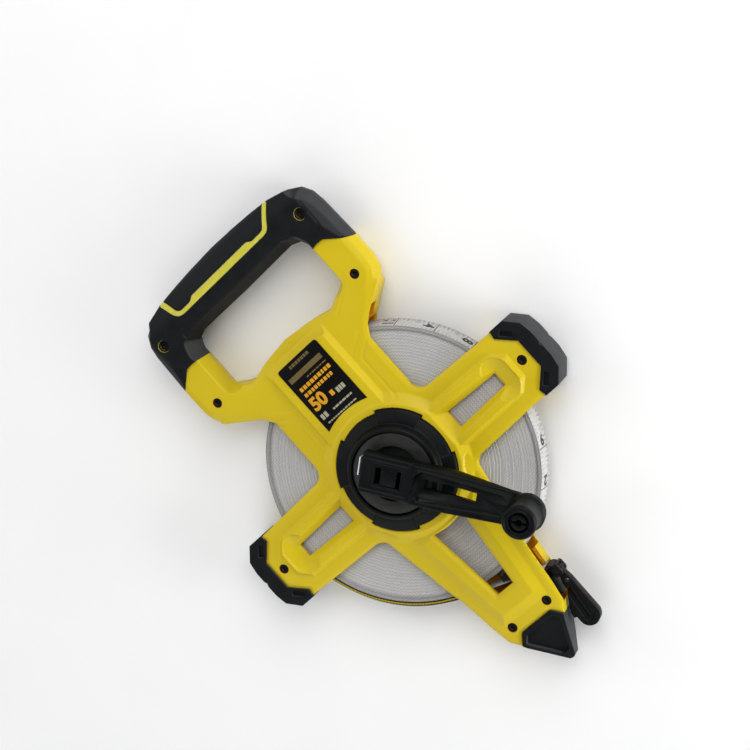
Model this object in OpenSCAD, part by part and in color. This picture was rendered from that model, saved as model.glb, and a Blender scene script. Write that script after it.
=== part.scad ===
// Open-frame surveyor's tape reel, lying on its back.
// Z runs along the winding axis toward the crank, Y toward the carrying handle.

/* [Tape] */
// Outer radius of the wound tape
roll_r = 90; // [86:0.5:90]
// Radius of the drum that the tape is wound on
core_r = 33; // [32:0.5:34]
// Width of the tape
tape_w = 13; // [12:0.5:13]
// Thickness of one layer of tape
tape_t = 0.45; // [0.35:0.05:0.6]

/* [Frame] */
// Height of the flat bands on the front of the frame
front_z = 26; // [26:0.5:27]
// Wall thickness of the two shells
wall = 2.4; // [2:0.1:2.8]
// Thickness of the shell plates
plate = 2.6; // [2.2:0.1:2.8]
// Height of the raised panels over the flat bands
panel_h = 2; // [1.5:0.1:2]
// Radius of the screw counterbores
screw_hole_r = 3.2; // [3.1:0.1:3.5]

/* [Handle] */
// Highest point of the grip over the back plane
grip_top_z = 28.6; // [27:0.2:29]
// Thickness of the rubber over the handle core
rubber = 3.5; // [3:0.25:4]

/* [Gears] */
// Gear module
gear_m = 1.15; // [1.13:0.01:1.15]
// Teeth of the sun and of each planet
sun_teeth = 15; // [15]
// Teeth of the fixed ring gear
ring_teeth = 45; // [45]
// Backlash at the pitch circle
backlash = 0.16; // [0.12:0.02:0.24]

/* [Crank] */
// Direction of the crank arm, degrees from +X
crank_angle = -52.5; // [-54:0.5:-50]
// Distance of the knob from the winding axis
knob_reach = 85.5; // [84:0.5:87]
// Height of the top of the crank arm
arm_top_z = 50; // [49:0.5:51]
// Height of the front of the knob
knob_top_z = 70.6; // [68:0.5:74]
// Radius of the knob's front
knob_r = 10.6; // [10:0.2:11]

/* [Hidden] */
$fn = 72;
eps = 0.01;
tall = 200;

// Colours
yellow = "#cdb51f";
rubber_black = "#1f2327";
plastic_black = "#17191b";
lime = "#c6c542";
steel = "#b9bcc0";
brass = "#b58f3f";
tape_grey = "#b4b1ae";

// Heights through the thickness of the reel
mid_z = front_z / 2 + 1;
rear_z = 2 * mid_z - front_z;
front_inner_z = front_z - plate;
roll_z0 = mid_z - tape_w / 2;
roll_z1 = mid_z + tape_w / 2;
skirt_z = roll_z1 + 0.7;
wall_start_r = roll_r + 3;

// Screws: x, y, and whether they sit in the grip
screws = [[104, 0], [-104, 0], [62, 104], [-62, 104], [14.3, -118], [-14.3, -118]];
grip_screws = [[62.4, 152], [-62.4, 152]];
boss_r = 5;
pilot_r = 1.5;

// Hub
collar_r = 46;
collar_in_r = 38.8;
hub_ring_r = 36.4;
hub_lobe_r = 38.3;
disc_r = 25.5;
disc_top_z = 37.7;
disc_pocket_r = 17;
disc_pocket_z = 33;
neck_r = 19.5;
neck_z = 21.5;
axle_r = 4;
running = 0.05;

// Gear train
sun_r = gear_m * sun_teeth / 2;
ring_r = gear_m * ring_teeth / 2;
planet_reach = 2 * sun_r;
planet_angles = [90, 210, 330];
gear_z0 = 11;
gear_z1 = 17;
planet_pin_r = 2.5;

// Crank arm
tongue_end = 17.5;
tongue_hw = 12.3;
tongue_top_z = 48.5;
arm_z0 = 39;
arm_floor_z = 43;
arm_end_z = 46.5;
knob_pin_r = 3;

// Tape end
exit_point = [28.2, -103.7];
hook_pivot = [30, -109];
hook_pin_r = 1.5;

// ---------------------------------------------------------------- plan outlines

function mirrored(half) = concat(half, [for (i = [len(half) - 1 : -1 : 0]) [-half[i][0], half[i][1]]]);
function flipped(half) = concat(half, [for (i = [len(half) - 1 : -1 : 0]) [half[i][0], -half[i][1]]]);

// Arm toward +X; s is the distance that its edges are drawn in by
function arm_half(s) = [[10, 26 - s], [48, 26 - s], [101 - s, 24.2 - s], [100 - s, 20 - 0.3 * s],
                        [110.5 - s, 10 - 0.4 * s]];

// Limb that carries the tape mouth, toward -Y
function limb_half(s) = [[40 - s, -15], [39 - s, -31], [33.5 - s, -60], [30 - s, -80], [28 - s, -86],
                         [25 - s, -110], [22.5 - s, -124], [17.5 - 0.7 * s, -130.5 + s],
                         [12 - 0.3 * s, -124 + s]];

// Outer edge of the handle and of the panel under it
function handle_half(s) = [[41.5 - s, 60], [41.5 - s, 70], [46 - 0.6 * s, 77 + 0.9 * s],
                           [58 - 0.5 * s, 85 + 0.9 * s], [68 - 0.6 * s, 91 + 0.9 * s],
                           [74 - 0.9 * s, 97 + 0.6 * s], [76 - s, 104 + 0.2 * s], [76.3 - s, 120],
                           [75.6 - s, 140], [75.2 - s, 150], [74 - s, 158 - 0.4 * s],
                           [70.2 - 0.8 * s, 164.5 - 0.8 * s], [62 - 0.5 * s, 169.3 - s],
                           [50 - 0.2 * s, 172.7 - s], [36, 174.4 - s], [20, 175.7 - s], [0, 176.5 - s]];

// Finger opening; s is how far it is widened
function opening_half(s) = [[0, 104 - s], [20, 101.8 - s], [32, 98.8 - s], [36, 98.2 - s],
                            [43 + 0.5 * s, 102 - 0.9 * s], [49 + s, 107.5 - 0.5 * s], [49 + s, 136 + 0.4 * s],
                            [46.5 + 0.7 * s, 141 + 0.7 * s], [40, 143.5 + s], [0, 143 + s]];

// Everything above the line where the rubber grip starts
function grip_zone_half() = [[0, 130.5], [44, 130.5], [49, 131], [57, 132.5], [62, 132], [70, 125.5],
                             [76, 121.5], [90, 121], [90, 200], [0, 200]];

module arm_plan(s) {
    polygon(flipped(arm_half(s)));
}

module handle_plan(s) {
    difference() {
        polygon(mirrored(handle_half(s)));
        polygon(mirrored(opening_half(s)));
    }
}

// Thicker wall round the opening and the legs, whose sides slope
module handle_wall_plan() {
    difference() {
        handle_plan(0);
        handle_plan(wall + 4);
    }
}

// Fills the inner corner at x, y between edges that leave it at the angles a and b, with radius r
module corner_fillet(x, y, r, a, b) {
    half = (b - a) / 2;
    reach = r / sin(half);
    touch = r / tan(half);
    translate([x, y]) difference() {
        polygon([[-cos(a + half), -sin(a + half)], [touch * cos(a), touch * sin(a)],
                 [touch * cos(b), touch * sin(b)]]);
        translate([reach * cos(a + half), reach * sin(a + half)]) circle(r);
    }
}

module frame_plan(s) {
    circle(collar_r - s);
    arm_plan(s);
    mirror([1, 0]) arm_plan(s);
    translate([s - 41.5, 0]) square([83 - 2 * s, 66]);
    polygon(mirrored(limb_half(s)));
    handle_plan(s);
    for (m = [0, 1]) mirror([m, 0]) {
        corner_fillet(41.5 - s, 26 - s, 8, 0, 90);
        corner_fillet(39.3 - s, s - 26, 8, -96.5, 0);
    }
}

module above_grip_line() {
    polygon(mirrored(grip_zone_half()));
}

// Window in an arm; g widens it
module arm_window_plan(g) {
    polygon([[47 - g, -6 - g], [85.3 + g, -4.6 - g], [85.3 + g, 4.6 + g], [47 - g, 6 + g]]);
}

// Window in the limb, its inner end an arc about the axis
module limb_window_plan(g) {
    difference() {
        polygon([[-13 - g, -40], [-6.5 - g, -97 - g], [6.5 + g, -97 - g], [13 + g, -40]]);
        circle(collar_r - g);
    }
}

// ---------------------------------------------------------------- shells

// A raised panel with sloping edges, from an outline given by its half-sizes
module arm_panel(h) {
    hull() {
        linear_extrude(eps) polygon(flipped([[38, 16], [91, 15], [99, 8]]));
        translate([0, 0, h - eps]) linear_extrude(eps) polygon(flipped([[40, 14], [90, 13.2], [97, 7]]));
    }
}

module arm_funnel(h) {
    hull() {
        translate([0, 0, -3]) linear_extrude(eps) arm_window_plan(0);
        translate([0, 0, h + 0.4]) linear_extrude(eps)
            polygon(flipped([[40.5, 10], [90, 8.2], [91.5, 6]]));
    }
}

module trunk_panel(h) {
    hull() {
        linear_extrude(eps) translate([-26, 36]) square([52, 61]);
        translate([0, 0, h - eps]) linear_extrude(eps) translate([-22.5, 36]) square([45, 59]);
    }
}

module limb_panel(h) {
    hull() {
        linear_extrude(eps) polygon(mirrored([[26, -40], [21, -80], [16.5, -113.5]]));
        translate([0, 0, h - eps]) linear_extrude(eps) polygon(mirrored([[23, -40], [18.5, -80], [14.5, -111.5]]));
    }
}

// Sloping outer and inner faces of the handle's legs
module leg_slopes(h) {
    for (m = [0, 1]) mirror([m, 0, 0]) {
        translate([0, 180, 0]) rotate([90, 0, 0]) linear_extrude(84)
            polygon([[68, h], [90, h - 8], [90, h + 9], [68, h + 9]]);
        translate([0, 180, 0]) rotate([90, 0, 0]) linear_extrude(76)
            polygon([[55.5, h], [30, h - 6], [30, h + 9], [55.5, h + 9]]);
    }
}

// Solid that lies d inside the outer face of the grip, with its slope along the top edge
module handle_core(d) {
    shift = 1.25 * d;
    difference() {
        translate([0, 0, mid_z - 1]) linear_extrude(front_z - mid_z - d + 1) handle_plan(d);
        rotate([90, 0, 90]) translate([0, 0, -100]) linear_extrude(tall)
            polygon([[162, grip_top_z - shift], [177, grip_top_z - 11.2 - shift], [190, grip_top_z - 11.2 - shift],
                     [190, tall], [162, tall]]);
    }
}

// One half of the frame, open downward at mid_z.
// trunk_h and collar_h: heights of the trunk panel and of the hub collar
module half_shell(trunk_h, collar_h) {
    difference() {
        union() {
            difference() {
                union() {
                    difference() {
                        translate([0, 0, mid_z]) linear_extrude(front_z - mid_z) frame_plan(0);
                        leg_slopes(front_z);
                    }
                    for (m = [0, 1]) mirror([m, 0, 0]) translate([0, 0, front_z]) arm_panel(panel_h);
                    translate([0, 0, front_z]) trunk_panel(trunk_h);
                    translate([0, 0, front_z]) limb_panel(panel_h);
                    rotate_extrude() polygon([[20, front_z - 1], [collar_r, front_z - 1], [collar_r, front_z],
                                              [collar_in_r + 2, front_z + collar_h],
                                              [collar_in_r, front_z + collar_h], [20, front_z + collar_h]]);
                }
                // inside of the shell, below the grip
                translate([0, 0, mid_z - 1]) linear_extrude(front_inner_z - mid_z + 1) difference() {
                    frame_plan(wall);
                    above_grip_line();
                    handle_wall_plan();
                }
                // room for the tape roll
                translate([0, 0, mid_z - 1]) cylinder(r = wall_start_r, h = skirt_z - mid_z + 1);
                // seat of the hub cover, wider where its lobes sit
                translate([0, 0, front_z]) cylinder(r = hub_ring_r + 0.4, h = 9);
                translate([0, 0, front_z]) linear_extrude(9) intersection() {
                    circle(collar_in_r);
                    lobe_sectors(23.5);
                }
                // core of the handle, under the rubber
                difference() {
                    translate([0, 0, mid_z - 1]) linear_extrude(30) above_grip_line();
                    handle_core(rubber);
                }
                intersection() {
                    translate([0, 0, mid_z - 1]) linear_extrude(30) above_grip_line();
                    handle_core(rubber + wall);
                }
            }
            // walls round the windows of the arms
            for (m = [0, 1]) mirror([m, 0, 0]) translate([0, 0, skirt_z]) linear_extrude(front_z - skirt_z)
                arm_window_plan(1.8);
            // bulkheads that join the legs to the core of the handle
            translate([0, 0, mid_z]) linear_extrude(front_z - mid_z - rubber) intersection() {
                handle_plan(1);
                difference() {
                    translate([0, -3]) above_grip_line();
                    above_grip_line();
                }
            }
            // screw bosses
            for (p = screws) translate([p[0], p[1], mid_z]) cylinder(r = boss_r, h = front_z - mid_z - 1);
            for (p = grip_screws) translate([p[0], p[1], mid_z]) cylinder(r = 4, h = front_z - mid_z - 0.6);
        }
        for (m = [0, 1]) mirror([m, 0, 0]) {
            translate([0, 0, skirt_z - 1]) linear_extrude(12) arm_window_plan(0);
            translate([0, 0, front_z]) arm_funnel(panel_h);
        }
        translate([0, 0, skirt_z - 3]) linear_extrude(14) limb_window_plan(0);
        // side openings of the mouth, for the end of the tape
        translate([22, -104, mid_z - 1]) cube([14, 22, front_inner_z - mid_z + 1]);
        translate([19, -125, mid_z - 1]) cube([12, 22, front_inner_z - mid_z + 1]);
    }
}

module front_shell() {
    color(yellow) difference() {
        half_shell(2.5, 3.3);
        translate([0, 0, front_z - 9]) cylinder(r = neck_r + 1, h = 20);
        for (p = concat(screws, grip_screws)) translate([p[0], p[1], mid_z - 1]) {
            cylinder(r = pilot_r + 0.3, h = 20);
            translate([0, 0, 3]) cylinder(r = screw_hole_r, h = 20);
        }
        // openings under the handle, on either side of the trunk
        for (m = [0, 1]) mirror([m, 0, 0]) translate([50.5, 77, mid_z - 1]) rotate([0, 0, 33])
            cube([9, 8, front_inner_z - mid_z + 1]);
    }
}

module rear_shell() {
    color(yellow) difference() {
        union() {
            translate([0, 0, 2 * mid_z]) mirror([0, 0, 1]) half_shell(panel_h, panel_h);
            // the wall at the tape mouth is whole here except for the tape's own slot
            difference() {
                translate([0, 0, rear_z]) linear_extrude(mid_z - rear_z) difference() {
                    polygon(mirrored(limb_half(0)));
                    polygon(mirrored(limb_half(wall)));
                }
                translate([-60, -150, 0]) cube([80, 200, 30]);
                translate([0, -90, 0]) cube([60, 100, 30]);
                translate([0, -150, 0]) cube([60, 48.4, 30]);
            }
        }
        for (p = concat(screws, grip_screws)) translate([p[0], p[1], 5]) cylinder(r = pilot_r, h = 20);
        // axle hole and the seat of the axle's head
        translate([0, 0, -1]) cylinder(r = axle_r, h = 20);
        translate([0, 0, -1]) cylinder(r = 8, h = 4.4);
    }
}

module shell_screws() {
    color(steel) for (p = concat(screws, grip_screws)) translate([p[0], p[1], 0]) difference() {
        union() {
            translate([0, 0, 5.6]) cylinder(r = pilot_r, h = mid_z + 2 - 5.6);
            translate([0, 0, mid_z + 2]) cylinder(r = 2.8, h = 2.2);
        }
        // cross recess
        for (a = [0, 90]) rotate([0, 0, a]) translate([-1.6, -0.35, mid_z + 3]) cube([3.2, 0.7, 3]);
    }
}

module rear_cap() {
    color(plastic_black) difference() {
        cylinder(r = 36, h = rear_z);
        for (a = [0 : 60 : 300]) rotate([0, 0, a]) translate([14, -1.5, -1]) cube([16, 3, 1.8]);
    }
}

module label_plate() {
    color(plastic_black) translate([0, 0, front_z + 2.5]) linear_extrude(0.4) difference() {
        union() {
            translate([-16.8, 40]) square([33.6, 50]);
            translate([-14.8, 40]) square([29.6, 52]);
            for (x = [-14.8, 14.8]) translate([x, 90]) circle(2);
        }
        circle(collar_r + 1.5);
    }
}

// ---------------------------------------------------------------- rubber

// Rubber over one half of the handle; top is its highest face above mid_z
module half_grip(top) {
    difference() {
        translate([0, 0, mid_z]) linear_extrude(top - mid_z) intersection() {
            handle_plan(0);
            above_grip_line();
        }
        // slopes over the top edge, under the fingers and down both sides
        rotate([90, 0, 90]) translate([0, 0, -100]) linear_extrude(tall)
            polygon([[162, top], [173.5, mid_z + 6], [177, mid_z + 1], [190, mid_z + 1], [190, top + 1], [162, top + 1]]);
        intersection() {
            rotate([90, 0, 90]) translate([0, 0, -100]) linear_extrude(tall)
                polygon([[149, top], [142, top - 4.5], [130, top - 4.5], [130, top + 1], [149, top + 1]]);
            translate([-47, 120, 0]) cube([94, 60, 40]);
        }
        for (m = [0, 1]) mirror([m, 0, 0]) {
            translate([0, 200, 0]) rotate([90, 0, 0]) linear_extrude(90)
                polygon([[67, top], [78, top - 8], [90, top - 8], [90, top + 1], [67, top + 1]]);
            translate([0, 139, 0]) rotate([90, 0, 0]) linear_extrude(30)
                polygon([[56, top], [44, top - 5], [30, top - 5], [30, top + 1], [56, top + 1]]);
            // bevel down to the yellow legs
            rotate([90, 0, 90]) translate([0, 0, 40]) linear_extrude(60)
                polygon([[140, top], [120, top - 3.6], [120, top + 1], [140, top + 1]]);
        }
        // the core of the handle and its screw bosses
        intersection() {
            handle_core(rubber);
            translate([0, 0, mid_z - 1]) linear_extrude(30) above_grip_line();
        }
        for (p = grip_screws) translate([p[0], p[1], mid_z - 1]) cylinder(r = 4, h = 30);
    }
}

module grip_front() {
    color(rubber_black) half_grip(grip_top_z);
}

module grip_rear() {
    color(rubber_black) translate([0, 0, 2 * mid_z]) mirror([0, 0, 1]) half_grip(2 * mid_z);
}

// Coloured stripe along the front of the grip
module grip_inlay() {
    color(lime) translate([0, 0, grip_top_z]) linear_extrude(0.35)
        polygon(mirrored([[0, 157.8], [36, 157.8], [39, 158.2], [41.2, 159.6], [42.8, 161.9], [40.2, 161.9],
                          [38.5, 160.6], [36, 160.1], [28, 160.1], [25, 162.2], [0, 162.2]]));
}

// Rubber foot round the end of the arm toward +X
module foot() {
    difference() {
        intersection() {
            translate([0, 0, rear_z]) linear_extrude(front_z - rear_z)
                polygon(flipped([[97, 22], [101, 25], [111, 25], [118.6, 17], [120, 9]]));
            for (a = [-41, 0, 41]) translate([104, 0, 0]) rotate([90, 0, a]) translate([0, 0, -60])
                linear_extrude(120) foot_section(a == 0 ? 16 : 17.2);
        }
        translate([0, 0, -1]) linear_extrude(40) arm_plan(0);
        // pockets
        for (side = [-1, 1], z = [-1, front_z - 2]) translate([107.6, side * 17.6, z]) rotate([0, 0, side * -44])
            translate([-4.2, -1.8, 0]) cube([8.4, 3.6, 3]);
    }
}

// Section of the foot through its thickness: sloping faces and three ribs
module foot_section(w) {
    h = (front_z - rear_z) / 2;
    translate([0, mid_z]) polygon([[-60, -h], [w - 6.6, -h], [w - 2.4, 4 - h], [w - 0.8, 7 - h], [w - 0.8, -4],
                                   [w, -3.4], [w, -1.2], [w - 0.8, -0.6], [w - 0.8, 0.6], [w, 1.2], [w, 3.4],
                                   [w - 0.8, 4], [w - 0.8, h - 7], [w - 2.4, h - 4], [w - 6.6, h], [-60, h]]);
}

module foot_right() {
    color(rubber_black) foot();
}

module foot_left() {
    color(rubber_black) mirror([1, 0, 0]) foot();
}

// Pointed rubber nose under the tape mouth
module nose_foot() {
    color(rubber_black) difference() {
        intersection() {
            translate([0, 0, rear_z]) linear_extrude(front_z - rear_z)
                polygon(mirrored([[11.9, -124], [17.4, -130.5], [2.2, -155.3], [0, -156]]));
            rotate([90, 0, 90]) translate([0, 0, -50]) linear_extrude(100)
                polygon([[-120, rear_z], [-133, rear_z], [-156, mid_z - 4.5], [-156, mid_z + 4.5],
                         [-133, front_z], [-120, front_z]]);
        }
        translate([0, 0, -1]) linear_extrude(40) polygon(mirrored(limb_half(0)));
        // sunk front
        intersection() {
            translate([0, 0, mid_z]) linear_extrude(40)
                polygon(mirrored([[10.6, -127], [14.2, -131], [3, -149.4], [0, -150.2]]));
            rotate([90, 0, 90]) translate([0, 0, -50]) linear_extrude(100)
                polygon([[-120, front_z - 3.2], [-133, front_z - 3.2], [-156, mid_z + 1.3], [-156, 40], [-120, 40]]);
        }
    }
}

// ---------------------------------------------------------------- tape mouth

// Dark liner that fills the open side of the limb beside the hook
module mouth_block() {
    color(plastic_black) translate([0, 0, rear_z + plate]) linear_extrude(front_inner_z - rear_z - plate)
        difference() {
            polygon([[19.8, -106], [25, -106.6], [25, -110], [22.8, -122], [19.8, -122]]);
            translate([14.3, -118]) circle(boss_r + 0.3);
        }
}

// Block that the tape bears on inside the limb
module tape_guide() {
    color(plastic_black) translate([0, 0, rear_z + plate]) linear_extrude(front_inner_z - rear_z - plate)
        polygon([[0.5, -90.7], [12, -90.7], [12, -97], [0.5, -93.4]]);
}

// ---------------------------------------------------------------- hub and gears

// Quarter sectors of the hub cover that carry the bayonet lobes
// half is half the angle that each sector covers
module lobe_sectors(half) {
    for (a = [45 : 90 : 315]) rotate(a)
        polygon([[0, 0], [60 * cos(half), -60 * sin(half)], [80, 0], [60 * cos(half), 60 * sin(half)]]);
}

module hub_ring() {
    in_r = disc_r + 0.4;
    color(plastic_black) difference() {
        union() {
            rotate_extrude() polygon([[in_r, front_z], [hub_ring_r, front_z], [hub_ring_r, 30.6],
                                      [hub_ring_r - 0.8, 31.3], [30.6, 33.2], [28.7, 37.4], [27.4, 38.6],
                                      [in_r, 38.6]]);
            intersection() {
                rotate_extrude() polygon([[in_r + 2, front_z], [hub_lobe_r, front_z], [hub_lobe_r, 30.2],
                                          [hub_lobe_r - 1, 31.2], [30.3, 33.7], [in_r + 2, 34]]);
                translate([0, 0, front_z]) linear_extrude(12) lobe_sectors(22.5);
            }
        }
        // seat over the neck of the crank disc
        translate([0, 0, front_z - 1]) cylinder(r = neck_r + 1, h = 3);
    }
}

// Involute gear outline
function inv_angle(a) = tan(a) * 180 / PI - a;
function flank_angle(r, rp, rb, half) = half + inv_angle(acos(rb / rp)) - inv_angle(acos(min(1, rb / r)));

module gear_plan(teeth, m, tip_r, root_r, lash) {
    rp = m * teeth / 2;
    rb = rp * cos(20);
    half = 90 / teeth - lash / 2 / rp * 180 / PI;
    start_r = max(rb, root_r);
    steps = 4;
    radii = [for (k = [0 : steps]) start_r + (tip_r - start_r) * k / steps];
    left = [for (r = radii) [r, -flank_angle(r, rp, rb, half)]];
    right = [for (k = [steps : -1 : 0]) [radii[k], flank_angle(radii[k], rp, rb, half)]];
    foot_a = flank_angle(start_r, rp, rb, half);
    tooth = concat([[root_r, -foot_a]], left, right, [[root_r, foot_a]]);
    polygon([for (i = [0 : teeth - 1], p = tooth)
        [p[0] * cos(p[1] + 90 + i * 360 / teeth), p[0] * sin(p[1] + 90 + i * 360 / teeth)]]);
}

module ring_gear() {
    out_r = ring_r + 3.6;
    color(plastic_black) difference() {
        translate([0, 0, gear_z0 - 0.4]) cylinder(r = out_r, h = front_inner_z - gear_z0 + 0.4);
        translate([0, 0, gear_z0 - 1]) linear_extrude(12)
            gear_plan(ring_teeth, gear_m, ring_r + 1.2, ring_r - 0.8, -backlash);
        translate([0, 0, gear_z1 + 0.4]) cylinder(r = ring_r + 1.7, h = 20);
    }
}

module axle_pin() {
    color(steel) {
        translate([0, 0, rear_z]) cylinder(r = axle_r, h = 31 - rear_z);
        translate([0, 0, rear_z]) cylinder(r = 7.9, h = 1.2);
    }
}

module thrust_washer() {
    color(brass) translate([0, 0, rear_z + plate]) difference() {
        cylinder(r = 10, h = 1.2);
        translate([0, 0, -1]) cylinder(r = axle_r, h = 4);
    }
}

module drum() {
    color(plastic_black) rotate_extrude() polygon([
        [axle_r + 1, 6], [9, 6], [9, 7], [core_r - 2.3, 7], [core_r - 2.3, roll_z0 - 0.9], [core_r + 3, roll_z0 - 0.9],
        [core_r + 3, roll_z0], [core_r, roll_z0], [core_r, roll_z1], [core_r - 2.3, roll_z1],
        [core_r - 2.3, 9.6], [9.6, 9.6], [9.6, 10.6], [6, 10.6], [6, gear_z1 + 0.4], [axle_r + 1, gear_z1 + 0.4]]);
}

module drum_bush() {
    color(brass) translate([0, 0, 6]) difference() {
        cylinder(r = axle_r + 1, h = gear_z1 + 0.4 - 6);
        translate([0, 0, -1]) cylinder(r = axle_r + running, h = 20);
    }
}

module sun_gear() {
    color(steel) difference() {
        translate([0, 0, gear_z0]) linear_extrude(gear_z1 - gear_z0)
            gear_plan(sun_teeth, gear_m, sun_r + 0.92, sun_r - 1.2, backlash);
        translate([0, 0, gear_z0 - 1]) cylinder(r = 6, h = 20);
    }
}

module tape_roll() {
    color(tape_grey) translate([0, 0, roll_z0]) difference() {
        cylinder(r = roll_r, h = tape_w, $fn = 180);
        translate([0, 0, -1]) cylinder(r = core_r, h = tape_w + 2);
    }
}

// Centre of a planet gear
function planet_at(i) = [planet_reach * cos(planet_angles[i]), planet_reach * sin(planet_angles[i]), 0];

module planet_gear(i) {
    color(steel) translate(planet_at(i)) difference() {
        translate([0, 0, gear_z0]) linear_extrude(gear_z1 - gear_z0) rotate(planet_angles[i] - 90)
            gear_plan(sun_teeth, gear_m, sun_r + 0.92, sun_r - 1.2, backlash);
        translate([0, 0, gear_z0 - 1]) cylinder(r = planet_pin_r + running, h = 20);
    }
}

module planet_gear_1() {
    planet_gear(0);
}

module planet_gear_2() {
    planet_gear(1);
}

module planet_gear_3() {
    planet_gear(2);
}

module planet_pins() {
    color(steel) for (i = [0 : 2]) translate(planet_at(i)) {
        translate([0, 0, gear_z0 - 0.3]) cylinder(r = planet_pin_r, h = neck_z - gear_z0 + 0.3);
    }
}

module planet_carrier() {
    color(plastic_black) difference() {
        translate([0, 0, gear_z1 + 1]) cylinder(r = 24, h = neck_z - gear_z1 - 1);
        translate([0, 0, gear_z1]) cylinder(r = axle_r + running, h = 10);
        for (i = [0 : 2]) translate(planet_at(i)) translate([0, 0, gear_z1]) cylinder(r = planet_pin_r, h = 10);
    }
}

module crank_disc() {
    color(plastic_black) rotate_extrude() polygon([
        [axle_r + running, neck_z], [neck_r, neck_z], [neck_r, 28.2], [disc_r, 28.2], [disc_r, disc_top_z - 0.6],
        [disc_r - 0.6, disc_top_z], [disc_pocket_r, disc_top_z], [disc_pocket_r - 1.2, disc_pocket_z],
        [0, disc_pocket_z], [0, 31.5], [axle_r + running, 31.5]]);
}

// ---------------------------------------------------------------- crank

// Square post that carries the crank arm
module drive_post() {
    color(plastic_black) rotate([0, 0, crank_angle]) {
        translate([-5, -5.2, disc_pocket_z]) cube([10, 10.4, tongue_top_z - 0.4 - disc_pocket_z]);
        // ledges under the tongue
        translate([-12, -9, disc_pocket_z]) cube([22, 18, 5]);
    }
}

// Steel strip that the inner end of the arm rests against
module detent_spring() {
    color(steel) rotate([0, 0, crank_angle]) translate([-19.3, -2.2, disc_top_z])
        cube([0.9, 11.4, tongue_top_z - 0.6 - disc_top_z]);
}

module arm_outline() {
    polygon(flipped([[-tongue_end, tongue_hw], [38, tongue_hw], [knob_reach - 5, 10.4]]));
    translate([knob_reach, 0]) circle(11.2);
}

module crank_arm() {
    color(plastic_black) rotate([0, 0, crank_angle]) difference() {
        union() {
            translate([0, 0, arm_z0]) linear_extrude(tongue_top_z - arm_z0) arm_outline();
            translate([0, 0, arm_z0]) linear_extrude(arm_top_z - arm_z0) intersection() {
                arm_outline();
                translate([14, -30]) square([120, 60]);
            }
        }
        // window over the drive post
        translate([-8.8, -5.7, arm_z0 - 1]) cube([16.4, 11.4, 20]);
        // underside that rises toward the knob
        rotate([90, 0, 0]) translate([0, 0, -30]) linear_extrude(60)
            polygon([[38, arm_z0], [75, arm_end_z], [120, arm_end_z], [120, arm_z0 - 1], [38, arm_z0 - 1]]);
        // channel along the arm, its floor rising too
        intersection() {
            translate([0, 0, arm_z0]) linear_extrude(20)
                polygon(flipped([[15, 5.2], [19.5, 9.2], [70, 6.2], [72.5, 3.5]]));
            rotate([90, 0, 0]) translate([0, 0, -30]) linear_extrude(60)
                polygon([[10, arm_floor_z], [36, arm_floor_z], [70, arm_top_z - 2], [80, arm_top_z - 2],
                         [80, arm_top_z + 2], [10, arm_top_z + 2]]);
        }
        // slot through its floor
        translate([21, -3, arm_z0 - 1]) cube([33, 6, 20]);
        translate([knob_reach, 0, arm_z0 - 1]) cylinder(r = knob_pin_r, h = 20);
    }
}

module knob_pin() {
    color(plastic_black) rotate([0, 0, crank_angle]) translate([knob_reach, 0, 0]) difference() {
        union() {
            translate([0, 0, arm_end_z + 0.5]) cylinder(r = knob_pin_r, h = knob_top_z - 4 - arm_end_z - 0.5);
            translate([0, 0, knob_top_z - 4]) cylinder(r = 4.6, h = 3.2);
        }
        translate([0, 0, knob_top_z - 6]) cylinder(r = 2, h = 10);
        translate([-6, -0.7, knob_top_z - 3]) cube([12, 1.4, 6]);
    }
}

module knob() {
    z0 = arm_top_z + 0.3;
    color(plastic_black) rotate([0, 0, crank_angle]) translate([knob_reach, 0, 0]) rotate_extrude() polygon([
        [knob_pin_r + running, z0], [11.6, z0], [11.8, z0 + 0.6], [11.8, z0 + 1.6], [11.1, z0 + 2.4],
        [knob_r - 0.6, z0 + 6], [knob_r, knob_top_z - 3], [knob_r - 0.5, knob_top_z - 1],
        [knob_r - 1.6, knob_top_z], [6.6, knob_top_z], [6.2, knob_top_z - 0.6],
        [6.2, knob_top_z - 4.2], [knob_pin_r + running, knob_top_z - 4.2]]);
}

// ---------------------------------------------------------------- tape end

// Point where the tape leaves the roll, on the left of the limb
leave_r = roll_r + 0.3;
exit_r = norm(exit_point);
leave_a = atan2(exit_point[1], exit_point[0]) - acos(leave_r / exit_r);
leave_point = [leave_r * cos(leave_a), leave_r * sin(leave_a)];

module strip(a, b, t) {
    d = (b - a) / norm(b - a);
    n = [-d[1], d[0]] * t / 2;
    polygon([a - n, b - n, b + n, a + n]);
}

module tape_tail() {
    color(tape_grey) translate([0, 0, roll_z0]) linear_extrude(tape_w) {
        strip(leave_point, exit_point, tape_t);
        translate(exit_point) circle(tape_t / 2, $fn = 24);
        strip(exit_point, [29.7, -104.95], tape_t);
    }
}

module tape_clamp() {
    color(plastic_black) difference() {
        translate([0, 0, roll_z0 - 0.4]) linear_extrude(tape_w + 0.8)
            polygon([[27.6, -105.2], [31.6, -105.2], [32.4, -106.4], [32.4, -111], [31.6, -112.4],
                     [27.8, -112.4], [26.6, -111], [26.6, -106.4]]);
        translate([20, -120, mid_z - 3.5]) cube([20, 13.6, 7]);
        translate([hook_pivot[0], hook_pivot[1], 0]) cylinder(r = hook_pin_r, h = 40);
    }
}

module hook_pin() {
    color(steel) translate([hook_pivot[0], hook_pivot[1], roll_z0 - 0.4]) cylinder(r = hook_pin_r, h = tape_w + 0.8);
}

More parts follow.
